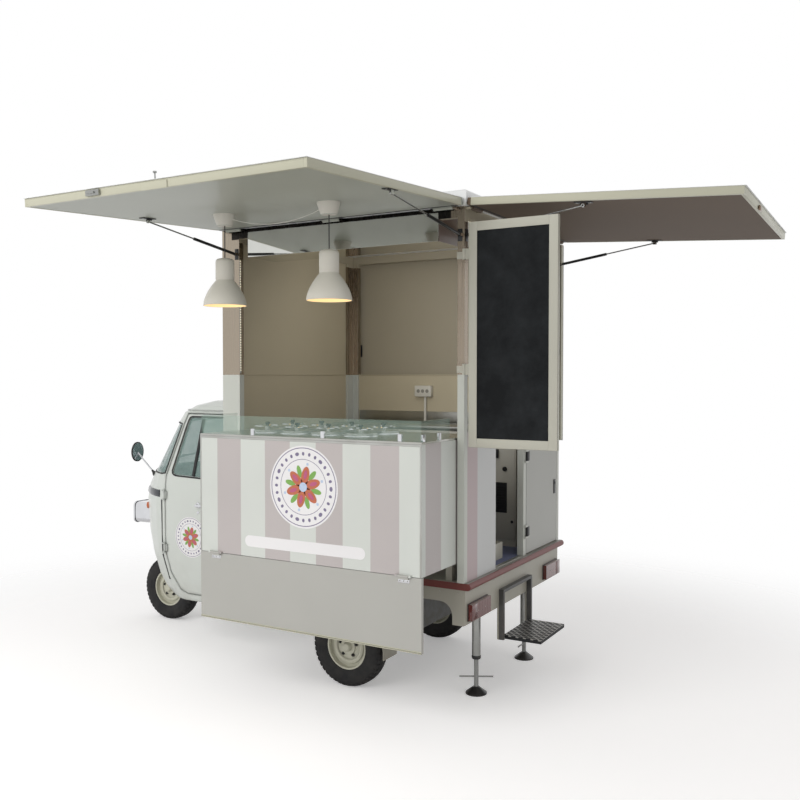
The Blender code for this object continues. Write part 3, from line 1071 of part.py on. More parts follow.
# Single-sided fork with the handlebar
FORK_OFFSET = 0.100
FORK_ARM = 0.018
FORK_CROSS_Z = 0.545
HANDLEBAR_Z = 1.110
HANDLEBAR_HALF = 0.270
GRIP_RADIUS = 0.013
arm_low = Vector((-FORK_OFFSET, hub.y, hub.z))
cross = on_steer(FORK_CROSS_Z)
arm_high = Vector((-FORK_OFFSET, cross.y, cross.z))
bar_reach = Vector((HANDLEBAR_HALF, 0, 0))
fork = [rod(cross - steer_axis * FORK_ARM, on_steer(HANDLEBAR_Z), STEM_RADIUS, 16),
        rod(arm_high + Vector((-FORK_ARM, 0, 0)), cross + Vector((FORK_ARM, 0, 0)), FORK_ARM, 16),
        rod(arm_low - steer_axis * FORK_ARM, arm_high, FORK_ARM, 16),
        rod(arm_low, hub + Vector((HUB_HALF_LENGTH, 0, 0)), STUB_RADIUS, 16),
        rod(on_steer(HANDLEBAR_Z) - bar_reach, on_steer(HANDLEBAR_Z) + bar_reach, GRIP_RADIUS, 16)]
piece("front_fork", fork, BLACK_METAL, pivot=tuple(hub))

# Headlamp, mirrors and the bench seat
LAMP_Z = 0.848
LAMP_HALF = 0.085
LAMP_LIP = 0.010
LAMP_POWER = 5
LAMP_TAPER_SHARE = 0.94


def lamp_loop(half, y):
    """A square outline with well rounded corners, across the lamp's axis."""
    loop = []
    for angle in circle_angles(28):
        across, up = math.cos(angle), math.sin(angle)
        loop.append((half * math.copysign(abs(across) ** (2 / LAMP_POWER), across), y,
                     LAMP_Z + half * math.copysign(abs(up) ** (2 / LAMP_POWER), up)))
    return loop


lamp_rear_y = section_at(LAMP_Z)[3] + CUT_OVERRUN
lamp_loops = [lamp_loop(LAMP_HALF - LAMP_LIP, HEADLAMP_FRONT_Y), lamp_loop(LAMP_HALF, HEADLAMP_FRONT_Y + LAMP_LIP),
              lamp_loop(LAMP_HALF * LAMP_TAPER_SHARE, lamp_rear_y)]
piece("headlamp", [loft(lamp_loops)], CHROME, smooth=SMOOTH_ANGLE, cuts=[cab_solid(-SEAT_GAP)])
MIRROR_HEAD = (0.500, -1.972, 1.394)
MIRROR_TURN = math.radians(12)
MIRROR_FOOT = (0.440, -1.850, 1.230)
MIRROR_RADIUS = 0.072
MIRROR_THICKNESS = 0.016
MIRROR_BACK_SHARE = 0.8
STALK_RADIUS = 0.006
for mirror_side, side in (("left", 1), ("right", -1)):
    head = Vector((side * MIRROR_HEAD[0], *MIRROR_HEAD[1:]))
    foot = Vector((side * MIRROR_FOOT[0], *MIRROR_FOOT[1:]))
    half_mirror = MIRROR_THICKNESS / 2
    back = [(0, -half_mirror), (MIRROR_RADIUS * MIRROR_BACK_SHARE, -half_mirror), (MIRROR_RADIUS, 0),
            (MIRROR_RADIUS, half_mirror), (0, half_mirror)]
    facing = (-side * math.sin(MIRROR_TURN), math.cos(MIRROR_TURN), 0)
    stalk = rod(foot - (head - foot) / 2, head, STALK_RADIUS, 12)
    piece("mirror_" + mirror_side, [turned(back, tuple(head), facing, 24), stalk],
          CHROME, smooth=SMOOTH_ANGLE, cuts=[cab_solid(-SEAT_GAP)])
SEAT_FRONT_Y = -1.360
SEAT_REAR_Y = -0.966
SEAT_HALF_WIDTH = 0.420
SEAT_BASE_Z = 0.600
SEAT_TOP_Z = 0.720
SEAT_BACK_Z = 1.150
SEAT_BACK_THICKNESS = 0.090
SEAT_BOX_HALF = 0.340
seat_back_y = SEAT_REAR_Y - SEAT_BACK_THICKNESS
seat = [block((-SEAT_HALF_WIDTH, SEAT_FRONT_Y, SEAT_BASE_Z), (SEAT_HALF_WIDTH, SEAT_REAR_Y, SEAT_TOP_Z)),
        block((-SEAT_HALF_WIDTH, seat_back_y, SEAT_BASE_Z), (SEAT_HALF_WIDTH, SEAT_REAR_Y, SEAT_BACK_Z)),
        block((-SEAT_BOX_HALF, SEAT_FRONT_Y + SEAT_BACK_THICKNESS, inner_floor + SEAT_GAP),
              (SEAT_BOX_HALF, SEAT_REAR_Y - SEAT_BACK_THICKNESS / 2, SEAT_BASE_Z + SEAT_BACK_THICKNESS / 2))]
piece("bench_seat", seat, SEAT_FABRIC)

# Pendant lamps under the left hatch: cups on the hatch, free cords and bell shades
PENDANT_X = 1.400
PENDANT_Y = (-0.330, 0.385)
CUP_RADIUS = 0.062
CUP_END_RADIUS = 0.043
CUP_HEIGHT = 0.066
CUP_SINK = 0.004
SHADE_RADIUS = 0.122
SHADE_NECK_RADIUS = 0.053
LAMP_DROP = 0.285
NECK_LENGTH = 0.126
BELL_LENGTH = 0.142
SHADE_TOP = ROOF_UNDERSIDE - LAMP_DROP
SHADE_SHOULDER = SHADE_TOP - NECK_LENGTH
SHADE_BOTTOM = SHADE_SHOULDER - BELL_LENGTH
SHADE_WALL = 0.004
BELL_POWER = 1.7
BELL_STEPS = 5
CROWN_RADIUS = 0.032
LAMP_SOCKET_RADIUS = 0.020
BULB_RADIUS = 0.028
BULB_TIP_SHARE = 0.7
CORD_RADIUS = 0.003
CORD_POINTS = 17


def bell(inset):
    """The bell of a shade from its shoulder down, drawn in by an inset, as (radius, height) points."""
    points = []
    for step in range(BELL_STEPS + 1):
        share = step / BELL_STEPS
        flare = 1 - (1 - share) ** BELL_POWER
        radius = SHADE_NECK_RADIUS + (SHADE_RADIUS - SHADE_NECK_RADIUS) * flare
        points.append((radius - inset, SHADE_SHOULDER + (SHADE_BOTTOM - SHADE_SHOULDER) * share))
    return points


socket_end = SHADE_SHOULDER - BULB_RADIUS * 2
bulb_end = SHADE_SHOULDER - BULB_RADIUS * 3
shade_profile = [(0, SHADE_TOP), (CROWN_RADIUS, SHADE_TOP), (SHADE_NECK_RADIUS, SHADE_TOP - SHADE_WALL * 4), *bell(0),
                 *bell(SHADE_WALL)[:0:-1], (SHADE_NECK_RADIUS - SHADE_WALL, SHADE_SHOULDER - SHADE_WALL),
                 (LAMP_SOCKET_RADIUS, SHADE_SHOULDER - SHADE_WALL), (BULB_RADIUS, socket_end),
                 (BULB_RADIUS * BULB_TIP_SHARE, bulb_end), (0, bulb_end - SHADE_WALL)]
along = (PENDANT_X - SIDE_HINGE_X) / math.cos(HATCH_OPEN_DROP)
cup_profile = [(0, 0), (CUP_RADIUS, 0), (CUP_END_RADIUS, CUP_HEIGHT + CUP_SINK), (0, CUP_HEIGHT + CUP_SINK)]
for number, lamp_y in enumerate(PENDANT_Y, start=1):
    cup = turned(cup_profile, (HATCH_STANDOFF + CUP_SINK, lamp_y, -along), (-1, 0, 0), 20)
    join(hatches["left"], f"lamp_cup_{number}", *moved([cup], left_place @ side_opened))
    cup_end = left_place @ side_opened @ Vector((HATCH_STANDOFF - CUP_HEIGHT, lamp_y, -along))
    cord_top = cup_end.z - SEAT_GAP * 2
    shade = turned(shade_profile, (cup_end.x, lamp_y, 0), (0, 0, 1), 20)
    piece(f"lamp_shade_{number}", [shade], LAMP_CREAM, smooth=SMOOTH_ANGLE, pivot=(cup_end.x, lamp_y, SHADE_TOP))
    route = bpy.data.curves.new(f"lamp_cord_{number}", "CURVE")
    route.dimensions = "3D"
    route.bevel_depth = CORD_RADIUS
    route.bevel_resolution = 2
    route.use_fill_caps = True
    spline = route.splines.new("POLY")
    spline.points.add(CORD_POINTS - 1)
    cord_bottom = SHADE_TOP + SEAT_GAP
    for step, point in enumerate(spline.points):
        point.co = (0, 0, cord_top + (cord_bottom - cord_top) * step / (CORD_POINTS - 1) - SHADE_TOP, 1)
    cord = bpy.data.objects.new(f"lamp_cord_{number}", route)
    cord.location = (cup_end.x, lamp_y, SHADE_TOP)
    cord.parent = ROOT
    cord.data.materials.append(material(RUBBER))
    bpy.context.scene.collection.objects.link(cord)
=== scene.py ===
"""The looks of the three-wheeled mini truck: finishes, tyres, lamps, seals, decor and small fittings.

All places are given in the vehicle's own axes, as in the CAD: X to its left, Y to its rear, Z up,
from the ground under the middle of the rear axle."""
import math

import bmesh
import bpy
from mathutils import Matrix, Vector
from mathutils.bvhtree import BVHTree


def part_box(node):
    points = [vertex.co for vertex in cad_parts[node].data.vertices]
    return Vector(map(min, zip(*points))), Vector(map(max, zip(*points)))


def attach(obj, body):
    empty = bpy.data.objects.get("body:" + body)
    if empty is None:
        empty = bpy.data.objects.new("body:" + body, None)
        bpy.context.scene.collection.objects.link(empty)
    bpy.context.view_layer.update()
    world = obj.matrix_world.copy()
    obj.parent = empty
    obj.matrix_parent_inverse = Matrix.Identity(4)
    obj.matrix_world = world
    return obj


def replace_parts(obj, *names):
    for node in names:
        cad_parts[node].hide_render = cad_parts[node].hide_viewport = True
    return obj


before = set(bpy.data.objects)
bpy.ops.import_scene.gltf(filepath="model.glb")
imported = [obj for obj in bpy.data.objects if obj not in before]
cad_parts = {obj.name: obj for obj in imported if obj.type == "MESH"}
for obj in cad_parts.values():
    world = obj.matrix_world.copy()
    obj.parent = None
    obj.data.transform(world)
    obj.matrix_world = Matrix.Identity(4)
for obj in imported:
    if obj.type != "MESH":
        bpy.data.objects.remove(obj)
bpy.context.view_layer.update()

# The vehicle's own axes, found from the rear tyres, and the camera of the photograph.
# It stood behind the left rear corner at about the height of the worktop, looking nearly level.
left_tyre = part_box("tyre_rear_left")
right_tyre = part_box("tyre_rear_right")
ORIGIN = (left_tyre[0] + left_tyre[1] + right_tyre[0] + right_tyre[1]) / 4
ORIGIN.z = 0

CAMERA_STAND = Vector((5.3044, 3.0453, 1.9632))
CAMERA_HEADING = math.radians(29.695)
CAMERA_DIP = math.radians(1.558)
PHOTO_WIDTH_PX = 800
FOCAL_LENGTH_PX = 887
SENSOR_WIDTH_MM = 36

lens = bpy.data.cameras.new("photo_lens")
lens.sensor_width = SENSOR_WIDTH_MM
lens.lens = SENSOR_WIDTH_MM * FOCAL_LENGTH_PX / PHOTO_WIDTH_PX
camera = bpy.data.objects.new("photo_camera", lens)
sight = Vector((-math.cos(CAMERA_HEADING) * math.cos(CAMERA_DIP),
                -math.sin(CAMERA_HEADING) * math.cos(CAMERA_DIP), -math.sin(CAMERA_DIP)))
camera.location = ORIGIN + CAMERA_STAND
camera.rotation_euler = sight.to_track_quat("-Z", "Y").to_euler()
bpy.context.scene.collection.objects.link(camera)
bpy.context.scene.camera = camera
bpy.context.scene.view_settings.view_transform = "Standard"


def linear(code):
    """A colour code such as #A0B0C0, from sRGB to linear light."""
    shares = [int(code[i:i + 2], 16) / 255 for i in (1, 3, 5)]
    return (*[s / 12.92 if s <= 0.04045 else ((s + 0.055) / 1.055) ** 2.4 for s in shares], 1)


def add(tree, kind, settings=None, inputs=None):
    """One shader or geometry node with its settings, and its inputs set or linked."""
    made = tree.nodes.new(kind)
    for label, value in (settings or {}).items():
        setattr(made, label, value)
    for socket, value in (inputs or {}).items():
        if isinstance(value, bpy.types.NodeSocket):
            tree.links.new(value, made.inputs[socket])
        else:
            made.inputs[socket].default_value = value
    return made


# Studio: a pale matt floor that fades out, a large soft lamp on the left and a weaker one behind.
# A small lamp stands for the ceiling strips inside.
# A white surround lights the rest at a lower level than it shows.
FLOOR_HALF = 30
FADE_START = 2.6
FADE_END = 5.6
FLOOR_LIFT = 0.27
SURROUND_LEVEL = 0.50
SOFT_LAMPS = (("key", (7.5, -1.5, 4.4), (0, 0, 1.2), 5.5, 340),
              ("fill", (1.0, 8.0, 5.0), (0, 0, 1.2), 5.0, 60),
              ("cabin", (0.15, 0.05, 2.70), (-0.8, -0.3, 1.8), 0.7, 3.2))

floor_mesh = bpy.data.meshes.new("floor")
floor_mesh.from_pydata([(x * FLOOR_HALF, y * FLOOR_HALF, 0) for x, y in ((-1, -1), (1, -1), (1, 1), (-1, 1))],
                       [], [(0, 1, 2, 3)])
floor = bpy.data.objects.new("floor", floor_mesh)
bpy.context.scene.collection.objects.link(floor)
floor_paper = bpy.data.materials.new("floor_paper")
floor_paper.use_nodes = True
paper = floor_paper.node_tree
paper.nodes.clear()
ground = add(paper, "ShaderNodeTexCoord").outputs["Object"]
away = add(paper, "ShaderNodeVectorMath", {"operation": "LENGTH"}, {0: ground}).outputs["Value"]
faded = add(paper, "ShaderNodeMapRange", {"interpolation_type": "SMOOTHSTEP"},
            {"Value": away, "From Min": FADE_START, "From Max": FADE_END}).outputs[0]
matt = add(paper, "ShaderNodeBsdfDiffuse", {}, {"Color": linear("#FDFBFA")}).outputs[0]
direct = add(paper, "ShaderNodeLightPath").outputs["Is Camera Ray"]
lift = add(paper, "ShaderNodeMath", {"operation": "MULTIPLY"}, {0: direct, 1: FLOOR_LIFT}).outputs[0]
bright = add(paper, "ShaderNodeEmission", {}, {"Strength": lift}).outputs[0]
matt = add(paper, "ShaderNodeAddShader", {}, {0: matt, 1: bright}).outputs[0]
gone = add(paper, "ShaderNodeBsdfTransparent").outputs[0]
add(paper, "ShaderNodeOutputMaterial", {},
    {"Surface": add(paper, "ShaderNodeMixShader", {}, {0: faded, 1: matt, 2: gone}).outputs[0]})
floor_mesh.materials.append(floor_paper)

world = bpy.data.worlds.new("surround")
bpy.context.scene.world = world
world.use_nodes = True
sky = world.node_tree
sky.nodes.clear()
rays = add(sky, "ShaderNodeLightPath")
seen = add(sky, "ShaderNodeMath", {"operation": "MAXIMUM"},
           {0: rays.outputs["Is Camera Ray"], 1: rays.outputs["Is Glossy Ray"]})
seen = add(sky, "ShaderNodeMath", {"operation": "MAXIMUM"},
           {0: seen.outputs[0], 1: rays.outputs["Is Transmission Ray"]})
level = add(sky, "ShaderNodeMapRange", {},
            {"Value": seen.outputs[0], "To Min": SURROUND_LEVEL, "To Max": 1.0})
light = add(sky, "ShaderNodeBackground", {}, {"Color": (1, 1, 1, 1), "Strength": level.outputs[0]})
add(sky, "ShaderNodeOutputWorld", {}, {"Surface": light.outputs[0]})

for lamp_name, stand, aim, width, power in SOFT_LAMPS:
    lamp = bpy.data.lights.new(lamp_name, "AREA")
    lamp.size = width
    lamp.energy = power
    lamp_object = bpy.data.objects.new(lamp_name, lamp)
    lamp_object.location = ORIGIN + Vector(stand)
    lamp_object.rotation_euler = (Vector(aim) - Vector(stand)).to_track_quat("-Z", "Y").to_euler()
    lamp_object.visible_camera = False
    lamp_object.visible_glossy = False
    bpy.context.scene.collection.objects.link(lamp_object)

# Chassis, arms, fork and engine: welded steel tube, stove-painted black, dusty and worn near the ground.
# The engine is cast aluminium and stays bare.
EDGE_ROUND = 0.002
DUST = "#6B655B"


def material(label):
    """A new material with its nodes cleared, its tree and its Object coordinates."""
    made = bpy.data.materials.new(label)
    made.use_nodes = True
    tree = made.node_tree
    tree.nodes.clear()
    return made, tree, add(tree, "ShaderNodeTexCoord").outputs["Object"]


def noise(tree, place, millimetres, detail=3.0, spread=0.5):
    """Noise whose grains are about that many millimetres across."""
    return add(tree, "ShaderNodeTexNoise", {}, {"Vector": place, "Scale": 1000 / millimetres, "Detail": detail,
                                                "Roughness": spread}).outputs["Fac"]


def mixed(tree, share, first, second, kind="MIX"):
    """Two colours mixed by a share."""
    return add(tree, "ShaderNodeMix", {"data_type": "RGBA", "blend_type": kind},
               {0: share, 6: first, 7: second}).outputs[2]


def ranged(tree, value, from_low, from_high, to_low, to_high):
    """A value carried from one range to another and kept inside it."""
    return add(tree, "ShaderNodeMapRange", {}, {"Value": value, "From Min": from_low, "From Max": from_high,
                                                "To Min": to_low, "To Max": to_high}).outputs[0]


def bumped(tree, height, millimetres, strength=1.0, rounded=EDGE_ROUND):
    """A normal raised by a height map over softly rounded edges."""
    edge = add(tree, "ShaderNodeBevel", {"samples": 4}, {"Radius": rounded}).outputs[0]
    return add(tree, "ShaderNodeBump", {}, {"Height": height, "Distance": millimetres / 1000,
                                            "Strength": strength, "Normal": edge}).outputs[0]


def surface(made, tree, inputs):
    """A Principled surface as the material's output."""
    shader = add(tree, "ShaderNodeBsdfPrincipled", {}, inputs)
    add(tree, "ShaderNodeOutputMaterial", {}, {"Surface": shader.outputs[0]})
    return made


def compute(tree, operation, first, second=0.0):
    """One step of arithmetic on two values."""
    return add(tree, "ShaderNodeMath", {"operation": operation}, {0: first, 1: second}).outputs[0]


def axis_of(tree, place, letter):
    """One vehicle coordinate of a shaded point."""
    raw = add(tree, "ShaderNodeSeparateXYZ", {}, {0: place}).outputs[letter]
    start = {"X": ORIGIN.x, "Y": ORIGIN.y, "Z": 0.0}[letter]
    return compute(tree, "SUBTRACT", raw, start)


def black_steel(label, code="#1E1F20", roughness=0.42, dust=0.3, metallic=0.0):
    """Paint over steel that gathers dust in patches below knee height."""
    made, tree, place = material(label)
    low = ranged(tree, axis_of(tree, place, "Z"), 0.0, 0.9, dust, 0.0)
    patch = ranged(tree, noise(tree, place, 45, 6.0, 0.7), 0.4, 0.7, 0.0, 1.0)
    share = compute(tree, "MULTIPLY", low, patch)
    base = mixed(tree, share, linear(code), linear(DUST))
    gloss = ranged(tree, share, 0.0, 0.3, roughness, 0.8)
    return surface(made, tree, {"Base Color": base, "Roughness": gloss, "Metallic": metallic,
                                "Normal": bumped(tree, patch, 0.05, rounded=0.001)})


def dress(finish, *nodes):
    """Gives a finish to CAD nodes."""
    for name in nodes:
        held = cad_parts[name].data
        held.materials.clear()
        held.materials.append(finish)


chassis_black = black_steel("chassis_black_paint")
dress(chassis_black, "chassis_frame", "rear_swing_arms", "front_fork")
dress(black_steel("engine_cast_aluminium", "#6C6D6C", 0.6, 0.9), "engine_block")

# Tyres: ribbed rubber of a light van, size 4.50-10, moulded in one piece.
# Three straight ribs have zigzag flanks, with a row of shoulder lugs on each side, on the plain tyres' form.
TYRE_RADIUS = (left_tyre[1].z - left_tyre[0].z) / 2
TYRE_HALF = (left_tyre[1].x - left_tyre[0].x) / 2
BEAD_RADIUS = 0.1425
BEAD_HALF = 0.048
TREAD_DEPTH = 0.006
TREAD_STEPS = 88
RIBS = ((-0.0285, -0.0125), (-0.008, 0.008), (0.0125, 0.0285))
RIB_SWAY = 0.002
LUGS = 44
LUG_LENGTH_SHARE = 0.68
REAR_HALF_TRACK = 0.600
WHEELBASE = 2.104


def lathe(shape, profile, centre, axis, steps=48):
    """Adds a profile of (radius, height) points turned about an axis through a centre."""
    turn = Vector((0, 0, 1)).rotation_difference(Vector(axis)).to_matrix().to_4x4()
    turn = Matrix.Translation(centre) @ turn
    rows = []
    for i in range(steps):
        t = 2 * math.pi * i / steps
        rows.append([shape.verts.new(turn @ Vector((r * math.cos(t), r * math.sin(t), h)))
                     for r, h in profile])
    for this, following in zip(rows, rows[1:] + rows[:1]):
        for i in range(len(profile) - 1):
            shape.faces.new((this[i], this[i + 1], following[i + 1], following[i]))
    return shape


def piece(label, parts, body, placed=None, smooth=38):
    """One object made of (shape, finish) parts, drawn in the vehicle's axes or in a panel's own axes."""
    mesh = bpy.data.meshes.new(label)
    whole = bmesh.new()
    for number, (shape, finish) in enumerate(parts):
        bmesh.ops.remove_doubles(shape, verts=shape.verts, dist=1e-5)
        bmesh.ops.recalc_face_normals(shape, faces=shape.faces)
        for face in shape.faces:
            face.material_index = number
        scrap = bpy.data.meshes.new("scrap")
        shape.to_mesh(scrap)
        shape.free()
        whole.from_mesh(scrap)
        bpy.data.meshes.remove(scrap)
        mesh.materials.append(finish)
    carried = Matrix.Translation(ORIGIN) @ (placed or Matrix.Identity(4))
    bmesh.ops.transform(whole, matrix=carried, verts=whole.verts)
    whole.to_mesh(mesh)
    whole.free()
    mesh.shade_smooth()
    mesh.set_sharp_from_angle(angle=math.radians(smooth))
    made = bpy.data.objects.new(label, mesh)
    bpy.context.scene.collection.objects.link(made)
    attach(made, body)
    return made


def rubber(label, code="#151517", grain_mm=4.0, roughness=0.72, worn="#45423D"):
    """Black rubber, greyed in patches."""
    made, tree, place = material(label)
    patch = ranged(tree, noise(tree, place, 70, 6.0), 0.35, 0.7, 0.0, 0.3)
    base = mixed(tree, patch, linear(code), linear(worn))
    return surface(made, tree, {"Base Color": base, "Roughness": roughness,
                                "Normal": bumped(tree, noise(tree, place, grain_mm), 0.1, rounded=0.001)})


def tyre(label, centre, body, node):
    """A moulded tyre with its ribs and lugs, put in the place of the plain one."""
    shape = bmesh.new()
    base = TYRE_RADIUS - TREAD_DEPTH
    side = [(BEAD_RADIUS, BEAD_HALF), (BEAD_RADIUS + 0.008, BEAD_HALF + 0.004), (0.165, TYRE_HALF - 0.006),
            (0.180, TYRE_HALF - 0.0015), (0.184, TYRE_HALF - 0.0005), (0.188, TYRE_HALF - 0.0012),
            (0.205, TYRE_HALF), (0.222, TYRE_HALF - 0.003), (0.236, TYRE_HALF - 0.010),
            (base - 0.002, TYRE_HALF - 0.018)]
    lathe(shape, side + [(base, 0)] + [(r, -h) for r, h in reversed(side)], centre, (1, 0, 0), 72)
    for low, high in RIBS:
        rows = []
        for i in range(TREAD_STEPS):
            t = 2 * math.pi * i / TREAD_STEPS
            shift = RIB_SWAY if i % 2 else -RIB_SWAY
            out = Vector((0, math.cos(t), math.sin(t)))
            rows.append([shape.verts.new(Vector(centre) + out * r + Vector((h + shift, 0, 0)))
                         for r, h in ((base - 0.003, low), (TYRE_RADIUS - abs(low) * 0.04, low),
                                      (TYRE_RADIUS - abs(high) * 0.04, high), (base - 0.003, high))])
        for this, following in zip(rows, rows[1:] + rows[:1]):
            for a in range(3):
                shape.faces.new((this[a], this[a + 1], following[a + 1], following[a]))
    for flank in (1, -1):
        for i in range(LUGS):
            start = 2 * math.pi * (i + (0.5 if flank < 0 else 0)) / LUGS
            ends = []
            for t in (start, start + 2 * math.pi / LUGS * LUG_LENGTH_SHARE):
                out = Vector((0, math.cos(t), math.sin(t)))
                ends.append([shape.verts.new(Vector(centre) + out * r + Vector((flank * h, 0, 0)))
                             for r, h in ((base - 0.004, 0.0325), (TYRE_RADIUS - 0.002, 0.0325),
                                          (TYRE_RADIUS - 0.006, TYRE_HALF - 0.013), (0.232, TYRE_HALF - 0.0035),
                                          (0.226, TYRE_HALF - 0.010))])
            for a in range(5):
                b = (a + 1) % 5
                shape.faces.new((ends[0][a], ends[0][b], ends[1][b], ends[1][a]))
            shape.faces.new(ends[0])
            shape.faces.new(reversed(ends[1]))
    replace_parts(piece(label, [(shape, tyre_rubber)], body, smooth=30), node)


tyre_rubber = rubber("tyre_rubber")
WHEELS = (("front", (0, -WHEELBASE, TYRE_RADIUS), 1), ("rear_left", (REAR_HALF_TRACK, 0, TYRE_RADIUS), 1),
          ("rear_right", (-REAR_HALF_TRACK, 0, TYRE_RADIUS), -1))
for wheel, centre, outward in WHEELS:
    tyre("ribbed_tyre_" + wheel, centre, "wheel_" + wheel, "tyre_" + wheel)

# Coach paint: sheet steel and laminate sprayed white, grey or cream and left glossy.
# It has a faint orange peel, slight tone changes, rounded edges and road dust near the ground.
ORANGE_PEEL_MM = 3.0
DUST_TOP = 0.75


def coach_paint(label, colour, roughness=0.34, coat=0.25, dust=0.35, rounded=EDGE_ROUND):
    """Sprayed paint over sheet. The colour is a code, or a function that gives a colour socket."""
    made, tree, place = material(label)
    base = colour(tree, place) if callable(colour) else linear(colour)
    shade = ranged(tree, noise(tree, place, 900), 0.3, 0.7, 0.95, 1.03)
    tone = add(tree, "ShaderNodeCombineColor", {}, {0: shade, 1: shade, 2: shade}).outputs[0]
    base = mixed(tree, 1.0, base, tone, "MULTIPLY")
    low = ranged(tree, axis_of(tree, place, "Z"), 0.25, DUST_TOP, dust, 0.0)
    streak = ranged(tree, noise(tree, place, 160, 6.0, 0.65), 0.35, 0.75, 0.0, 1.0)
    share = compute(tree, "MULTIPLY", low, streak)
    base = mixed(tree, share, base, linear("#8D8577"))
    gloss = ranged(tree, share, 0.0, 0.3, roughness, 0.7)
    peel = noise(tree, place, ORANGE_PEEL_MM, 1.0)
    return surface(made, tree, {"Base Color": base, "Roughness": gloss, "Coat Weight": coat,
                                "Coat Roughness": 0.08, "Normal": bumped(tree, peel, 0.02, rounded=rounded)})


def split(letter, bound, above, below):
    """A colour function with one code past a bound along an axis and another before it."""
    def colour(tree, place):
        """The two sides mixed at the bound."""
        past = compute(tree, "GREATER_THAN", axis_of(tree, place, letter), bound)
        first = below(tree, place) if callable(below) else linear(below)
        second = above(tree, place) if callable(above) else linear(above)
        return mixed(tree, past, first, second)
    return colour


# Wheels: pressed steel discs in cream paint, with a raised ring, five nuts on a circle and a dust cap.
# The cap is painted with the disc, and the nuts with the chassis.
NUT_CIRCLE = 0.062
NUT_HALF = 0.008
CAP_RADIUS = 0.030
DISC_RING = 0.098
DISC_FACE = 0.024
CAP_FACE = 0.030
WHEEL_NUTS = 5
FIRST_NUT_TURN = 0.3


def steel(label, code="#C9C9C6", roughness=0.22, brushed=(1, 1, 30), dark="#A9A8A2"):
    """Stainless or plated steel; the brushing runs along the axis with the smallest stretch."""
    made, tree, place = material(label)
    stretched = add(tree, "ShaderNodeMapping", {}, {"Vector": place, "Scale": brushed}).outputs[0]
    grain = noise(tree, stretched, 12, 4.0, 0.6)
    tone = mixed(tree, noise(tree, place, 120, 4.0), linear(code), linear(dark))
    gloss = ranged(tree, grain, 0.2, 0.8, roughness * 0.7, roughness * 1.5)
    return surface(made, tree, {"Base Color": tone, "Metallic": 1.0, "Roughness": gloss,
                                "Normal": bumped(tree, grain, 0.01, 0.6)})


def bolt(shape, centre, axis, radius, height, sides=6):
    """Adds a bolt head or a nut with a chamfered top."""
    profile = [(radius, 0), (radius, height * 0.8), (radius * 0.8, height), (0, height)]
    lathe(shape, profile, centre, axis, sides)


chrome = steel("chromed_steel", "#E2E3E6", 0.06, dark="#C9CACD")
rim_cream = coach_paint("rim_cream_paint", "#C9C8B6", 0.38, 0.2, 0.3)
dress(rim_cream, "rim_front", "rim_rear_left", "rim_rear_right")
for wheel, centre, outward in WHEELS:
    face = Vector(centre)
    axis = (outward, 0, 0)
    disc = bmesh.new()
    lathe(disc, [(DISC_RING - 0.016, 0), (DISC_RING - 0.010, 0.006), (DISC_RING, 0.007),
                 (DISC_RING + 0.012, 0)], face + Vector((outward * DISC_FACE, 0, 0)), axis, 56)
    cap = bmesh.new()
    lathe(cap, [(CAP_RADIUS + 0.003, 0), (CAP_RADIUS, 0.004), (CAP_RADIUS - 0.002, 0.018),
                (CAP_RADIUS - 0.008, 0.026), (0, 0.028)], face + Vector((outward * CAP_FACE, 0, 0)), axis, 32)
    nuts = bmesh.new()
    for i in range(WHEEL_NUTS):
        t = 2 * math.pi * i / WHEEL_NUTS + FIRST_NUT_TURN
        spot = face + Vector((outward * DISC_FACE, NUT_CIRCLE * math.cos(t), NUT_CIRCLE * math.sin(t)))
        bolt(nuts, spot, axis, NUT_HALF + 0.003, 0.004, 24)
        bolt(nuts, spot + Vector((outward * 0.003, 0, 0)), axis, NUT_HALF, 0.010)
    piece("wheel_fittings_" + wheel, [(disc, rim_cream), (cap, rim_cream), (nuts, chassis_black)],
          "wheel_" + wheel)

# Deck and skirts: folded sheet in warm grey, with blue-grey vinyl on the floor and dark steel behind the step.
# Countersunk screws hold the skirts along their upper edge.
DECK_HALF = 0.768
DECK_TOP = 0.785
BODY_FRONT_Y = -0.880
BODY_REAR_Y = 0.885
SCREW_PITCH = 0.12
SCREW_Z = 0.722
SCREW_RADIUS = 0.0045
SCREW_HEIGHT = 0.0016
FLOOR_X = (-0.356, 0.455)
FLOOR_Y = (-0.848, 0.853)


def block(shape, low, high, bevel=0.0):
    """Adds a box between two corners, its edges broken by a small bevel."""
    made = bmesh.ops.create_cube(shape, size=1)["verts"]
    size = Vector(high) - Vector(low)
    middle = (Vector(low) + Vector(high)) / 2
    bmesh.ops.transform(shape, matrix=Matrix.Translation(middle) @ Matrix.Diagonal((*size, 1)), verts=made)
    if bevel:
        edges = list({e for v in made for e in v.link_edges})
        bmesh.ops.bevel(shape, geom=edges, offset=bevel, segments=2, affect="EDGES", profile=0.5)
    return shape


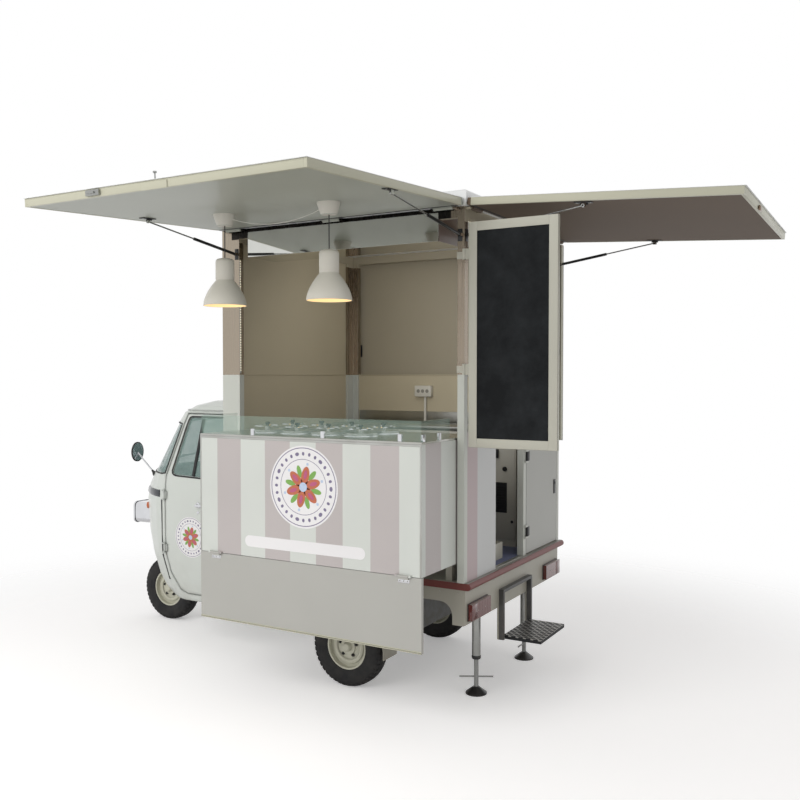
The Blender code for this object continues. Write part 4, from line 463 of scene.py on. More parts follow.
def repeated(label, points, axis, radius, height, finish, body, sides=12):
    """Equal round heads set on points by Geometry Nodes, facing along an axis."""
    seeds = bpy.data.meshes.new(label + "_seeds")
    seeds.from_pydata([ORIGIN + Vector(p) for p in points], [], [])
    holder = bpy.data.objects.new(label, seeds)
    bpy.context.scene.collection.objects.link(holder)
    tree = bpy.data.node_groups.new(label + "_heads", "GeometryNodeTree")
    tree.interface.new_socket("Geometry", in_out="INPUT", socket_type="NodeSocketGeometry")
    sized = tree.interface.new_socket("Head Radius", in_out="INPUT", socket_type="NodeSocketFloat")
    raised = tree.interface.new_socket("Head Height", in_out="INPUT", socket_type="NodeSocketFloat")
    aimed = tree.interface.new_socket("Facing", in_out="INPUT", socket_type="NodeSocketVector")
    tree.interface.new_socket("Geometry", in_out="OUTPUT", socket_type="NodeSocketGeometry")
    given = add(tree, "NodeGroupInput")
    top = compute(tree, "MULTIPLY", given.outputs["Head Radius"], 0.72)
    head = add(tree, "GeometryNodeMeshCone", {}, {"Vertices": sides, "Radius Top": top,
                                                  "Radius Bottom": given.outputs["Head Radius"],
                                                  "Depth": given.outputs["Head Height"]}).outputs["Mesh"]
    turn = add(tree, "FunctionNodeAlignEulerToVector", {"axis": "Z"},
               {"Vector": given.outputs["Facing"]}).outputs[0]
    spots = add(tree, "GeometryNodeInstanceOnPoints", {},
                {"Points": given.outputs["Geometry"], "Instance": head, "Rotation": turn}).outputs[0]
    real = add(tree, "GeometryNodeRealizeInstances", {}, {0: spots}).outputs[0]
    painted = add(tree, "GeometryNodeSetMaterial", {}, {"Geometry": real, "Material": finish}).outputs[0]
    add(tree, "NodeGroupOutput", {}, {0: painted})
    change = holder.modifiers.new("heads", "NODES")
    change.node_group = tree
    change[sized.identifier] = radius
    change[raised.identifier] = height
    change[aimed.identifier] = tuple(Vector(axis))
    made = bpy.data.meshes.new_from_object(holder.evaluated_get(bpy.context.evaluated_depsgraph_get()))
    holder.modifiers.remove(change)
    holder.data = made
    made.name = label
    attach(holder, body)


def steps_between(low, high, pitch):
    """Even places between two ends, about a pitch apart."""
    count = max(1, round((high - low) / pitch))
    return [low + (high - low) * i / count for i in range(count + 1)]


def deck_colour(tree, place):
    """Grey sheet, with the step's frame dark behind the rear skirt."""
    back = compute(tree, "GREATER_THAN", axis_of(tree, place, "Y"), BODY_REAR_Y + 0.0015)
    return mixed(tree, back, linear("#A5A296"), linear("#3A3B3C"))


dress(coach_paint("skirt_grey_coach_paint", deck_colour, 0.42, 0.15, 0.5), "deck")
screw_steel = steel("screw_zinc_plate", "#B9B9B4", 0.3)
floor_vinyl = coach_paint("floor_blue_grey_vinyl", "#646A86", 0.55, 0.0, 0.0)
floor_mat = block(bmesh.new(), (FLOOR_X[0], FLOOR_Y[0], DECK_TOP + 0.0004),
                  (FLOOR_X[1], FLOOR_Y[1], DECK_TOP + 0.0032), 0.001)
piece("floor_mat", [(floor_mat, floor_vinyl)], "body")
for side, side_name in ((1, "left"), (-1, "right")):
    spots = [(side * DECK_HALF, y, SCREW_Z) for y in steps_between(-0.80, 0.84, SCREW_PITCH)]
    repeated("skirt_screws_" + side_name, spots, (side, 0, 0), SCREW_RADIUS, SCREW_HEIGHT, screw_steel, "body")
repeated("skirt_screws_rear", [(x, BODY_REAR_Y, SCREW_Z) for x in steps_between(-0.70, 0.70, SCREW_PITCH)],
         (0, 1, 0), SCREW_RADIUS, SCREW_HEIGHT, screw_steel, "body")

# Bumper moulding: red-brown rubber in a grey aluminium carrier that shows on top.
# The tail lamps are moulded dark red lenses with ribs, each held by two screws.
BUMPER_TOP = 0.783
LAMP_RIM = 0.004
LAMP_MIDDLE_WIDTH = 0.07
LAMP_SCREW_IN = 0.085


def bumper_colour(tree, place):
    """Red-brown at the sides and the carrier's grey on top."""
    top = compute(tree, "GREATER_THAN", axis_of(tree, place, "Z"), BUMPER_TOP - 0.0008)
    return mixed(tree, top, linear("#6E3834"), linear("#8F8C86"))


def lens_plastic(label, code, ribs_mm=6.0):
    """Ribbed translucent plastic under a gloss. A drawn rib is about six times ribs_mm wide."""
    made, tree, place = material(label)
    wave = add(tree, "ShaderNodeTexWave", {"bands_direction": "X"},
               {"Vector": place, "Scale": 1000 / ribs_mm / 20}).outputs["Fac"]
    return surface(made, tree, {"Base Color": linear(code), "Roughness": 0.18, "Coat Weight": 0.8,
                                "Coat Roughness": 0.03, "Normal": bumped(tree, wave, 0.4)})


dress(coach_paint("bumper_red_brown_rubber", bumper_colour, 0.45, 0.1, 0.2), "rear_bumper_bar")
tail_red = lens_plastic("tail_lamp_red_lens", "#5E1F1A")
dress(tail_red, "tail_lamp_left", "tail_lamp_right")
lamp_low, lamp_high = [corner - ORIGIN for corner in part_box("tail_lamp_left")]
tail_rim = black_steel("tail_lamp_black_rim", "#241415", 0.4, 0.1)
amber = lens_plastic("indicator_amber_lens", "#B4561B")
for side, side_name in ((1, "left"), (-1, "right")):
    rim, middle = bmesh.new(), bmesh.new()
    near, far = sorted((side * lamp_low.x, side * lamp_high.x))
    block(rim, (near - LAMP_RIM, BODY_REAR_Y + 0.0004, lamp_low.z - LAMP_RIM),
          (far + LAMP_RIM, BODY_REAR_Y + 0.006, lamp_high.z + LAMP_RIM), 0.0015)
    edge = far - LAMP_MIDDLE_WIDTH if side > 0 else near
    block(middle, (edge, lamp_high.y - 0.002, lamp_low.z + LAMP_RIM),
          (edge + LAMP_MIDDLE_WIDTH, lamp_high.y + 0.0015, lamp_high.z - LAMP_RIM), 0.001)
    piece("tail_lamp_rim_" + side_name, [(rim, tail_rim), (middle, tail_red)], "body")
    middle_z = (lamp_low.z + lamp_high.z) / 2
    spots = [(x, lamp_high.y, middle_z) for x in (near + LAMP_SCREW_IN, far - LAMP_SCREW_IN)]
    repeated("tail_lamp_screws_" + side_name, spots, (0, 1, 0), 0.004, 0.002, screw_steel, "body")

# Folding step: checker plate in black-painted steel with a folded rim, hung from the frame behind the bumper.
# Its ridges are rubbed bright. They cross each other and leave dark diamonds between them.
STEP_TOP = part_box("folding_step")[1].z
TREAD_PITCH = 0.034
RIDGE_HALF = 0.0030


def checker_plate():
    """Crossed rows of raised bars, rubbed bright, over dark paint."""
    made, tree, place = material("checker_plate_black_steel")
    bars = None
    for turn in (math.pi / 4, -math.pi / 4):
        laid = add(tree, "ShaderNodeMapping", {}, {"Vector": place, "Rotation": (0, 0, turn)}).outputs[0]
        line = add(tree, "ShaderNodeSeparateXYZ", {}, {0: laid})
        across = compute(tree, "PINGPONG", line.outputs["Y"], TREAD_PITCH / 2)
        bar = ranged(tree, across, RIDGE_HALF, RIDGE_HALF * 1.6, 1.0, 0.0)
        bars = bar if bars is None else compute(tree, "MAXIMUM", bars, bar)
    flat = compute(tree, "GREATER_THAN", axis_of(tree, place, "Z"), STEP_TOP - 0.0045)
    raised = compute(tree, "MULTIPLY", bars, flat)
    base = mixed(tree, raised, linear("#232426"), linear("#A9A7A2"))
    gloss = ranged(tree, raised, 0, 1, 0.55, 0.3)
    return surface(made, tree, {"Base Color": base, "Metallic": 0.5, "Roughness": gloss,
                                "Normal": bumped(tree, raised, 1.2)})


dress(checker_plate(), "folding_step")

# Screw jacks: zinc-plated tubes and screws with a bright cross bar and a black cast foot.
# The tubes hang from a crossmember of the chassis and end in a black collar.
JACK_X = (0.345, -0.445)
JACK_Y = 0.760
SLEEVE_RADIUS = 0.0264
SLEEVE_LOW = 0.235
SLEEVE_HIGH = 0.69
COLLAR_RADIUS = 0.0285
THREAD_PITCH = 0.0022
FOOT_TOP = 0.046


def jack_colour(tree, place):
    """The foot black and the screw above it bright, with painted shade between its threads."""
    height = axis_of(tree, place, "Z")
    # Painted shade: each thread's root is darkened in a ramp, as the thread's own shape would shade it.
    painted_thread_shade = ranged(tree, compute(tree, "PINGPONG", height, THREAD_PITCH), 0.0, THREAD_PITCH, 0.0, 1.0)
    screw = mixed(tree, painted_thread_shade, linear("#6E6F6F"), linear("#B4B5B3"))
    return mixed(tree, compute(tree, "GREATER_THAN", height, FOOT_TOP), linear("#141416"), screw)


dress(coach_paint("jack_screw_and_foot", jack_colour, 0.35, 0.3, 0.15), "jack_leg_left", "jack_leg_right")
zinc = steel("jack_zinc_plate", "#B2B3B0", 0.28, dark="#8B8C8A")
for x, side_name in zip(JACK_X, ("left", "right")):
    sleeve, collar = bmesh.new(), bmesh.new()
    lathe(sleeve, [(SLEEVE_RADIUS, SLEEVE_LOW), (SLEEVE_RADIUS, SLEEVE_HIGH)], (x, JACK_Y, 0), (0, 0, 1), 32)
    lathe(collar, [(0.0262, 0.240), (COLLAR_RADIUS, 0.236), (COLLAR_RADIUS, 0.222), (0.0262, 0.218)],
          (x, JACK_Y, 0), (0, 0, 1), 32)
    piece("jack_tube_" + side_name, [(sleeve, zinc), (collar, chassis_black)], "body")

# Body frame: welded square stainless tube, brushed, with the room's warm reflections painted into its colour.
# It is painted white below the seam, and its headers inside are lined in beige.
SEAM_Z = 1.970
POST_X = 0.785
HEADER_LOW = 2.83
HEADER_HALF = 0.80


def post_finish():
    """Brushed steel with broad painted reflections above the seam, paint below it and lining inside the
    headers.
    """
    made, tree, place = material("post_stainless_and_paint")
    fine = add(tree, "ShaderNodeMapping", {}, {"Vector": place, "Scale": (1, 1, 0.03)}).outputs[0]
    grain = noise(tree, fine, 12, 4.0)
    broad = add(tree, "ShaderNodeMapping", {}, {"Vector": place, "Scale": (1, 1, 0.05)}).outputs[0]
    # Painted reflections: warm brown tones in broad bands, as the room would show in polished steel.
    painted_reflection_band = noise(tree, broad, 260, 0.0)
    tone = mixed(tree, ranged(tree, painted_reflection_band, 0.35, 0.65, 0, 1), linear("#8F8375"), linear("#A39889"))
    height = axis_of(tree, place, "Z")
    below = compute(tree, "LESS_THAN", height, SEAM_Z)
    inside = compute(tree, "LESS_THAN", compute(tree, "ABSOLUTE", axis_of(tree, place, "X")), POST_X - 0.002)
    lined = compute(tree, "MULTIPLY", compute(tree, "GREATER_THAN", height, HEADER_LOW), inside)
    tone = mixed(tree, below, tone, linear("#C3C5BD"))
    tone = mixed(tree, lined, tone, linear("#A9A08B"))
    between = compute(tree, "LESS_THAN", compute(tree, "ABSOLUTE", axis_of(tree, place, "Y")), HEADER_HALF)
    hinge_line = compute(tree, "MULTIPLY", compute(tree, "GREATER_THAN", height, HEADER_LOW + 0.020), between)
    hinge_line = compute(tree, "MULTIPLY", hinge_line, compute(tree, "SUBTRACT", 1.0, inside))
    tone = mixed(tree, hinge_line, tone, linear("#2B2927"))
    painted = compute(tree, "MAXIMUM", below, lined)
    metal = compute(tree, "SUBTRACT", 1.0, painted)
    gloss = ranged(tree, painted, 0.0, 1.0, ranged(tree, grain, 0.2, 0.8, 0.16, 0.34), 0.4)
    return surface(made, tree, {"Base Color": tone, "Metallic": metal, "Roughness": gloss,
                                "Normal": bumped(tree, grain, 0.01, 0.6)})


dress(post_finish(), "body_frame")

# Roof: a white laminate lid with a rounded rim, bonded to the body frame.
# A flat aluminium strip is riveted round its foot and hides the joint.
RIM_STRIP = 0.0016
RIM_STRIP_Z = (0.002, 0.020)
dress(coach_paint("roof_white_laminate", "#E2E3E2", 0.4, 0.15, 0.0), "roof_slab")
ROOF_LOW, ROOF_HIGH = [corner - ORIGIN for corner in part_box("roof_slab")]
alloy = steel("mill_aluminium_strip", "#C6C7C4", 0.35, (1, 30, 1))
rim_strip = bmesh.new()
strip_low, strip_high = [ROOF_LOW.z + height for height in RIM_STRIP_Z]
for side in (1, -1):
    x0, x1 = sorted((side * ROOF_HIGH.x, side * (ROOF_HIGH.x + RIM_STRIP)))
    block(rim_strip, (x0, ROOF_LOW.y, strip_low), (x1, ROOF_HIGH.y, strip_high), 0.0005)
for y0, y1 in ((ROOF_LOW.y - RIM_STRIP, ROOF_LOW.y), (ROOF_HIGH.y, ROOF_HIGH.y + RIM_STRIP)):
    block(rim_strip, (ROOF_LOW.x, y0, strip_low), (ROOF_HIGH.x, y1, strip_high), 0.0005)
piece("roof_rim_strip", [(rim_strip, alloy)], "body")

# Stripes: vinyl film in off-white and pale pink wrapped round the counter and the right side wall.
# The boundaries run round the corners at one even pitch; the wall's inner side is beige.
STRIPE_WIDTH = 0.1811
STRIPE_START_Y = -0.569
COUNTER_FACE_X = 1.198
BEIGE = "#BFB49A"
WALL_MIDDLE_X = -0.771
PANEL_STRIPE_X = 0.605


def striped(tree, place):
    """Pink and off-white by the distance along the side and round its rear corner."""
    round_corner = compute(tree, "SUBTRACT", axis_of(tree, place, "Y"), axis_of(tree, place, "X"))
    along = compute(tree, "SUBTRACT", round_corner, STRIPE_START_Y - COUNTER_FACE_X)
    part = compute(tree, "FRACT", compute(tree, "DIVIDE", along, STRIPE_WIDTH * 2))
    return mixed(tree, compute(tree, "LESS_THAN", part, 0.5), linear("#CBCEC8"), linear("#B6AFAD"))


dress(coach_paint("striped_vinyl_film", striped, 0.42, 0.1, 0.0), "counter_cabinet")
wall_colour = split("X", WALL_MIDDLE_X, BEIGE, striped)
dress(coach_paint("right_wall_film_and_lining", wall_colour, 0.45, 0.1, 0.0), "right_wall_lower")
panel_colour = split("X", PANEL_STRIPE_X, "#B5A4A5", "#C3C4C3")
dress(coach_paint("rear_panel_film", panel_colour, 0.42, 0.1), "rear_panel_left")

# Inner lining: beige washable laminate, a thin cap strip along the seam at worktop height,
# a double socket with its conduit on the right wall and a strip of lamp chips in a channel by the opening.
WALL_X = -0.7565
WALL_Y = -0.8515
TRIM_TOP = 2.82
SOCKET_FACE_X = -0.7200
SOCKET_Y = (-0.262, -0.119)
SOCKET_Z = (1.803, 1.888)
CONDUIT_FOOT = 1.617
OUTLET_Y = (-0.228, -0.190, -0.152)
OUTLET_Z = 1.846
LED_X = 0.7775
LED_Y = -0.7376
LED_Z = (2.00, 2.71)
CEILING_CHIP_Z = 2.9135
inner_beige = coach_paint("inner_beige_laminate", BEIGE, 0.5, 0.05, 0.0)
front_colour = split("Y", BODY_FRONT_Y + 0.015, BEIGE, "#D3D4CF")
dress(coach_paint("front_wall_lining_and_skin", front_colour, 0.5, 0.05, 0.0), "front_wall_lower",
      "front_wall_upper")
seam = bmesh.new()
block(seam, (-0.756, WALL_Y, SEAM_Z - 0.003), (0.70, -0.8485, SEAM_Z + 0.004), 0.0008)
block(seam, (WALL_X, -0.80, SEAM_Z - 0.004), (-0.7535, 0.83, SEAM_Z + 0.0035), 0.0008)
piece("wall_seam_strip", [(seam, inner_beige)], "body")
corner_post = bmesh.new()
block(corner_post, (WALL_X, WALL_Y, SEAM_Z + 0.004), (-0.7200, -0.8480, TRIM_TOP), 0.001)
block(corner_post, (-0.7180, WALL_Y, SEAM_Z + 0.004), (-0.7090, -0.8440, TRIM_TOP), 0.001)
# The corner trim is polished steel whose brown is a painted reflection of the beige room, darker in patches.
steel_painted_warm_reflection = steel("corner_trim_steel_painted_reflection", "#8A7766", 0.25, (30, 30, 1), "#6E5E50")
piece("corner_trim", [(corner_post, steel_painted_warm_reflection)], "body")
plastic_white = coach_paint("socket_white_plastic", "#D3CFC3", 0.35, 0.1, 0.0)
dark_plastic = rubber("black_plastic", "#1A1A1C", 2.0, 0.45, "#2A2A2C")
outlet, holes = bmesh.new(), bmesh.new()
block(outlet, (-0.7568, SOCKET_Y[0], SOCKET_Z[0]), (SOCKET_FACE_X, SOCKET_Y[1], SOCKET_Z[1]), 0.004)
lathe(outlet, [(0.010, CONDUIT_FOOT), (0.010, SOCKET_Z[0])], (-0.745, -0.180, 0), (0, 0, 1), 16)
for y in OUTLET_Y:
    lathe(holes, [(0.014, 0), (0.014, 0.0008), (0, 0.0008)], (SOCKET_FACE_X, y, OUTLET_Z), (1, 0, 0), 20)
grey_insert = coach_paint("socket_grey_inserts", "#8E8A80", 0.4, 0, 0)
piece("wall_socket", [(outlet, plastic_white), (holes, grey_insert)], "body")


def glowing(label, code, strength):
    """A surface with a soft glow of its own, for lamps and for the painted glow inside the lamp shades."""
    made, tree, place = material(label)
    return surface(made, tree, {"Base Color": linear(code), "Emission Color": linear(code),
                                "Emission Strength": strength, "Roughness": 0.4})


chip_white = glowing("lamp_chip_warm_white", "#FFF3D6", 0.7)
channel = block(bmesh.new(), (LED_X - 0.007, LED_Y - 0.0003, SEAM_Z + 0.01),
                (LED_X + 0.006, LED_Y + 0.0022, LED_Z[1] + 0.01), 0.0006)
piece("lamp_strip_channel", [(channel, alloy)], "body")
chips = [(LED_X, LED_Y + 0.003, z) for z in steps_between(*LED_Z, 0.0165)]
repeated("lamp_strip_chips", chips, (0, 1, 0), 0.0045, 0.002, chip_white, "body", sides=8)
chips = [(x, y, CEILING_CHIP_Z) for y in (0.70, 0.79) for x in steps_between(-0.60, 0.45, 0.022)]
repeated("ceiling_lamp_chips", chips, (0, 0, -1), 0.0060, 0.002, chip_white, "body", sides=8)

# Mirror box: polished stainless sheet round a timber core, screwed up under the ceiling.
# Its rear end is covered by a brown sheet that paints the shade there.
CEILING_LOW, CEILING_HIGH = [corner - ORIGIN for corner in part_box("ceiling_box")]
END_CAP_X = 0.7845
END_CAP_TOP = 2.90
dress(steel("mirror_polished_steel", "#D2D3CE", 0.03, dark="#C8C9C4"), "ceiling_box")
# Painted shade: the rear end is a dark brown sheet, darker than the steel round it.
painted_shade_brown = coach_paint("mirror_box_painted_shade_end", "#5E4B40", 0.35, 0.2, 0.0)
end_cap = block(bmesh.new(), (CEILING_LOW.x, CEILING_HIGH.y + 0.0003, CEILING_LOW.z),
                (END_CAP_X, CEILING_HIGH.y + 0.004, END_CAP_TOP), 0.001)
piece("mirror_box_end", [(end_cap, painted_shade_brown)], "body")

# Hatches: flat panels with a white outer skin that laps the edge, a cream edge profile and a pale inner face.
# Each has a black hinge strip, strut brackets on base plates, and the latch parts that hold it shut.
SIDE_HINGE_X = 0.812
REAR_HINGE_Y = 0.912
HINGE_Z = 2.905
OPEN_TURN = math.pi / 2 - math.radians(3.4)
NEAR = 0.010
FAR = 0.050
PROUD = 0.0012
LAP = 0.003
SKIN = 0.0025
SKIN_BELOW = 0.009
PROFILE_WIDTH = 0.016
PLATE_HALF_WIDTH = 0.020
PLATE_HALF_HEIGHT = 0.048
PLATE_BOLT_RISE = 0.036
RIGHT_LATCHES_Y = (-0.55, 0.55)
opened = Matrix.Rotation(-OPEN_TURN, 4, "Y")
left_axes = Matrix.Translation((SIDE_HINGE_X, 0, HINGE_Z)) @ opened
rear_axes = Matrix.Translation((0, REAR_HINGE_Y, HINGE_Z)) @ Matrix.Rotation(math.pi / 2, 4, "Z") @ opened
right_axes = Matrix.Translation((-SIDE_HINGE_X, 0, HINGE_Z)) @ Matrix.Rotation(math.pi, 4, "Z")
edge_cream = coach_paint("hatch_edge_cream_profile", "#B7B5A1", 0.4, 0.15, 0.0)
hatch_white = coach_paint("hatch_white_skin", "#E4E5E4", 0.38, 0.2, 0.0)
dress(coach_paint("left_hatch_inner_laminate", "#A5A89D", 0.45, 0.1, 0.0), "left_hatch")
dress(coach_paint("rear_hatch_inner_laminate", "#5E4F41", 0.75, 0.0, 0.0), "rear_hatch")
dress(coach_paint("right_hatch_inner_laminate", "#A59C88", 0.45, 0.1, 0.0), "right_hatch")
HATCHES = (("left", left_axes, -0.880, 0.885, 1.480, 0.755, (-0.758, 0.8575)),
           ("rear", rear_axes, -0.809, 0.809, 1.455, 0.650, (-0.7575, 0.7575)),
           ("right", right_axes, -0.885, 0.880, 1.400, 0.740, (0.820, -0.8575)))
for side_name, axes, low, high, length, bracket, strut_places in HATCHES:
    profile, skin, strip, plates, bolts = [bmesh.new() for _ in range(5)]
    block(skin, (FAR, low - LAP, -length - SKIN_BELOW), (FAR + SKIN, high + LAP, -0.002), 0.001)
    inner_low = low + PROFILE_WIDTH
    inner_high = high - PROFILE_WIDTH
    for y0, y1 in ((low - PROUD, inner_low), (inner_high, high + PROUD)):
        block(profile, (NEAR - PROUD, y0, -length - PROUD), (FAR, y1, -0.020), 0.0008)
    block(profile, (NEAR - PROUD, inner_low, -length - PROUD),
          (FAR, inner_high, -length + PROFILE_WIDTH), 0.0008)
    block(strip, (NEAR - 0.0025, low + 0.02, -0.030), (NEAR + 0.001, high - 0.02, -0.0155), 0.0006)
    for y in strut_places:
        block(plates, (NEAR - 0.005, y - PLATE_HALF_WIDTH, -bracket - PLATE_HALF_HEIGHT),
              (NEAR, y + PLATE_HALF_WIDTH, -bracket + PLATE_HALF_HEIGHT), 0.0015)
        block(plates, (NEAR - 0.014, y + 0.0094, -bracket - 0.022),
              (NEAR - 0.004, y + 0.0125, -bracket + 0.022), 0.001)
        for rise in (-PLATE_BOLT_RISE, PLATE_BOLT_RISE):
            bolt(bolts, Vector((NEAR - 0.005, y, -bracket + rise)), (-1, 0, 0), 0.005, 0.002, 12)
    body = side_name + "_hatch"
    piece(side_name + "_hatch_skin", [(skin, hatch_white), (profile, edge_cream)], body, axes)
    parts = [(strip, dark_plastic), (plates, dark_plastic), (bolts, zinc)]
    piece(side_name + "_hatch_fittings", parts, body, axes)
latch, keeper, hook, rear_latch, right_latch = [bmesh.new() for _ in range(5)]
block(latch, (NEAR + 0.006, -0.42, -1.496), (FAR - 0.006, -0.33, -1.4815), 0.003)
block(latch, (NEAR + 0.014, -0.405, -1.506), (FAR - 0.014, -0.355, -1.494), 0.003)
block(keeper, (NEAR - 0.004, -0.055, -1.4855), (FAR - 0.008, 0.105, -1.4815), 0.0012)
lathe(hook, [(0.0035, 0), (0.0035, 0.030), (0.009, 0.032), (0.009, 0.040), (0, 0.042)],
      (FAR + SKIN, 0.012, -1.462), (1, 0, 0), 16)
block(hook, (FAR + SKIN, -0.006, -1.475), (FAR + 0.006, 0.030, -1.449), 0.001)
parts = [(latch, zinc), (keeper, edge_cream), (hook, zinc)]
piece("left_hatch_latch", parts, "left_hatch", left_axes)
block(rear_latch, (NEAR - 0.006, -0.372, -1.470), (NEAR + 0.020, -0.306, -1.4565), 0.004)
# The latch shares that brown steel, whose colour is a painted warm reflection.
piece("rear_hatch_latch", [(rear_latch, steel_painted_warm_reflection)], "rear_hatch", rear_axes)
for y in RIGHT_LATCHES_Y:
    block(right_latch, (FAR + SKIN, y - 0.03, -1.385), (FAR + 0.020, y + 0.03, -1.345), 0.004)
    block(right_latch, (FAR + 0.020, y - 0.012, -1.372), (FAR + 0.034, y + 0.012, -1.330), 0.004)
piece("right_hatch_latches", [(right_latch, zinc)], "right_hatch", right_axes)

# Struts: gas cylinders of black-painted steel tube with polished rods.
# Each stands on a black plate screwed to its post.
FOOT_HALF = 0.014
FOOT_Z = (HINGE_Z - 0.185, HINGE_Z - 0.115)
strut_black = black_steel("strut_black_paint", "#131416", 0.3, 0.0)
strut_rod_steel = steel("strut_rod_steel", "#8E9093", 0.18)
for start, finish in (("strut_cylinder", strut_black), ("strut_rod", strut_rod_steel)):
    dress(finish, *[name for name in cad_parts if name.startswith(start)])
foot_plates = bmesh.new()
for (x0, x1), places in (((0.7855, 0.7885), (-0.758, 0.8575)), ((-0.7885, -0.7855), (-0.820, 0.8575))):
    for y in places:
        block(foot_plates, (x0, y - FOOT_HALF, FOOT_Z[0]), (x1, y + FOOT_HALF, FOOT_Z[1]), 0.001)
for x in (-0.7575, 0.7575):
    block(foot_plates, (x - FOOT_HALF, 0.8855, FOOT_Z[0]), (x + FOOT_HALF, 0.8885, FOOT_Z[1]), 0.001)
piece("strut_foot_plates", [(foot_plates, strut_black)], "body")

# Pendant lamps: spun cream shades with a warm bulb, on black cords from turned cups under the left hatch.
# The shades have a groove at the shoulder and a rolled rim. A thin white wire droops between the cups.
LAMP_X = 1.3967
LAMP_Y = (-0.330, 0.385)
CUP_REACH = -0.58904
CUP_END_Z = 2.8141
CUP_PROFILE = ((0.0632, 0), (0.0626, 0.006), (0.0450, 0.0620), (0.0410, 0.0664), (0.0060, 0.0664),
               (0.0050, 0.0640))
SHADE_TOP = 2.630
SHADE_SHOULDER = 2.504
SHADE_BOTTOM = 2.362
SHADE_WALL = 0.0035
NECK_RADIUS = 0.053
BELL_FLARE = 0.069
BELL_POWER = 1.7
BULB_RADIUS = 0.028
BULB_Z = 2.450
CORD_RADIUS = 0.003
WIRE_RADIUS = 0.002
WIRE_HIGH = 2.850
WIRE_SAG = 0.052
WIRE_IN = 0.051


def strand(label, points, radius, finish, body):
    """A round cord along points, as one open spline."""
    route = bpy.data.curves.new(label, "CURVE")
    route.dimensions = "3D"
    route.bevel_depth = radius
    route.bevel_resolution = 3
    route.use_fill_caps = True
    line = route.splines.new("POLY")
    line.points.add(len(points) - 1)
    for spot, place in zip(line.points, points):
        spot.co = (*(ORIGIN + Vector(place)), 1)
    route.materials.append(finish)
    made = bpy.data.objects.new(label, route)
    bpy.context.scene.collection.objects.link(made)
    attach(made, body)
    return made


shade_cream = coach_paint("lamp_cream_enamel", "#CFCBC0", 0.42, 0.1, 0.0)
bulb_glass = glowing("lamp_bulb_warm_glass", "#FFE9B8", 1.6)
# Painted glow: the shades' inner faces glow warm, as if lit by the bulbs.
shade_inside_painted_glow = glowing("lamp_inside_painted_glow", "#F2D8A4", 0.55)
cord_rubber = rubber("cord_black_rubber", roughness=0.5)
wire_white = rubber("wire_white_rubber", "#D8D6CE", 2.0, 0.5, "#C2BFB4")
bell_drop = SHADE_BOTTOM + 0.003 - SHADE_SHOULDER
bell = [(NECK_RADIUS + BELL_FLARE * (1 - (1 - i / 9) ** BELL_POWER), SHADE_SHOULDER + bell_drop * i / 9)
        for i in range(10)]
outer = [(0, SHADE_TOP), (0.030, SHADE_TOP), (0.044, SHADE_TOP - 0.004), (0.051, SHADE_TOP - 0.012),
         (NECK_RADIUS, SHADE_TOP - 0.020), (NECK_RADIUS, SHADE_SHOULDER + 0.007),
         (NECK_RADIUS - 0.002, SHADE_SHOULDER + 0.005), (NECK_RADIUS - 0.002, SHADE_SHOULDER + 0.003)] + bell
rolled = [(bell[-1][0] + 0.0008, SHADE_BOTTOM + 0.001), (bell[-1][0] - 0.001, SHADE_BOTTOM),
          (bell[-1][0] - 0.003, SHADE_BOTTOM + 0.001)]
inner = [(r - SHADE_WALL, z) for r, z in reversed(bell)]
inner += [(NECK_RADIUS - SHADE_WALL, SHADE_TOP - 0.022), (0, SHADE_TOP - 0.006)]
round_glass = [(0.012, 2.494), (0.014, 2.484)]
for angle in range(40, 181, 20):
    t = math.radians(angle)
    round_glass.append((BULB_RADIUS * math.sin(t), BULB_Z + BULB_RADIUS * math.cos(t)))
for number, y in enumerate(LAMP_Y, 1):
    spun, lit, socket, bulb = [bmesh.new() for _ in range(4)]
    lathe(spun, outer + rolled, (LAMP_X, y, 0), (0, 0, 1), 64)
    lathe(lit, rolled[-1:] + inner, (LAMP_X, y, 0), (0, 0, 1), 64)
    lathe(socket, [(0.020, SHADE_TOP - 0.008), (0.020, 2.500), (0.018, 2.492), (0.012, 2.492)],
          (LAMP_X, y, 0), (0, 0, 1), 32)
    lathe(bulb, round_glass, (LAMP_X, y, 0), (0, 0, 1), 32)
    parts = [(spun, shade_cream), (lit, shade_inside_painted_glow), (socket, dark_plastic), (bulb, bulb_glass)]
    shade = piece(f"pendant_shade_{number}", parts, "left_hatch", smooth=50)
    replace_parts(shade, f"lamp_shade_{number}")
    route = [(LAMP_X, y, CUP_END_Z + (SHADE_TOP + 0.0004 - CUP_END_Z) * i / 12) for i in range(13)]
    flex = strand(f"pendant_cord_{number}", route, CORD_RADIUS, cord_rubber, "left_hatch")
    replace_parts(flex, f"lamp_cord_{number}")
    cup = lathe(bmesh.new(), CUP_PROFILE, (NEAR, y, CUP_REACH), (-1, 0, 0), 48)
    piece(f"pendant_cup_{number}", [(cup, shade_cream)], "left_hatch", left_axes)
span = (LAMP_Y[0] + WIRE_IN, LAMP_Y[1] - WIRE_IN)
drape = []
for i in range(25):
    share = i / 24
    drape.append((LAMP_X, span[0] + (span[1] - span[0]) * share,
                  WIRE_HIGH - WIRE_SAG * 4 * share * (1 - share)))
wire = strand("pendant_wire", drape, WIRE_RADIUS, wire_white, "left_hatch")

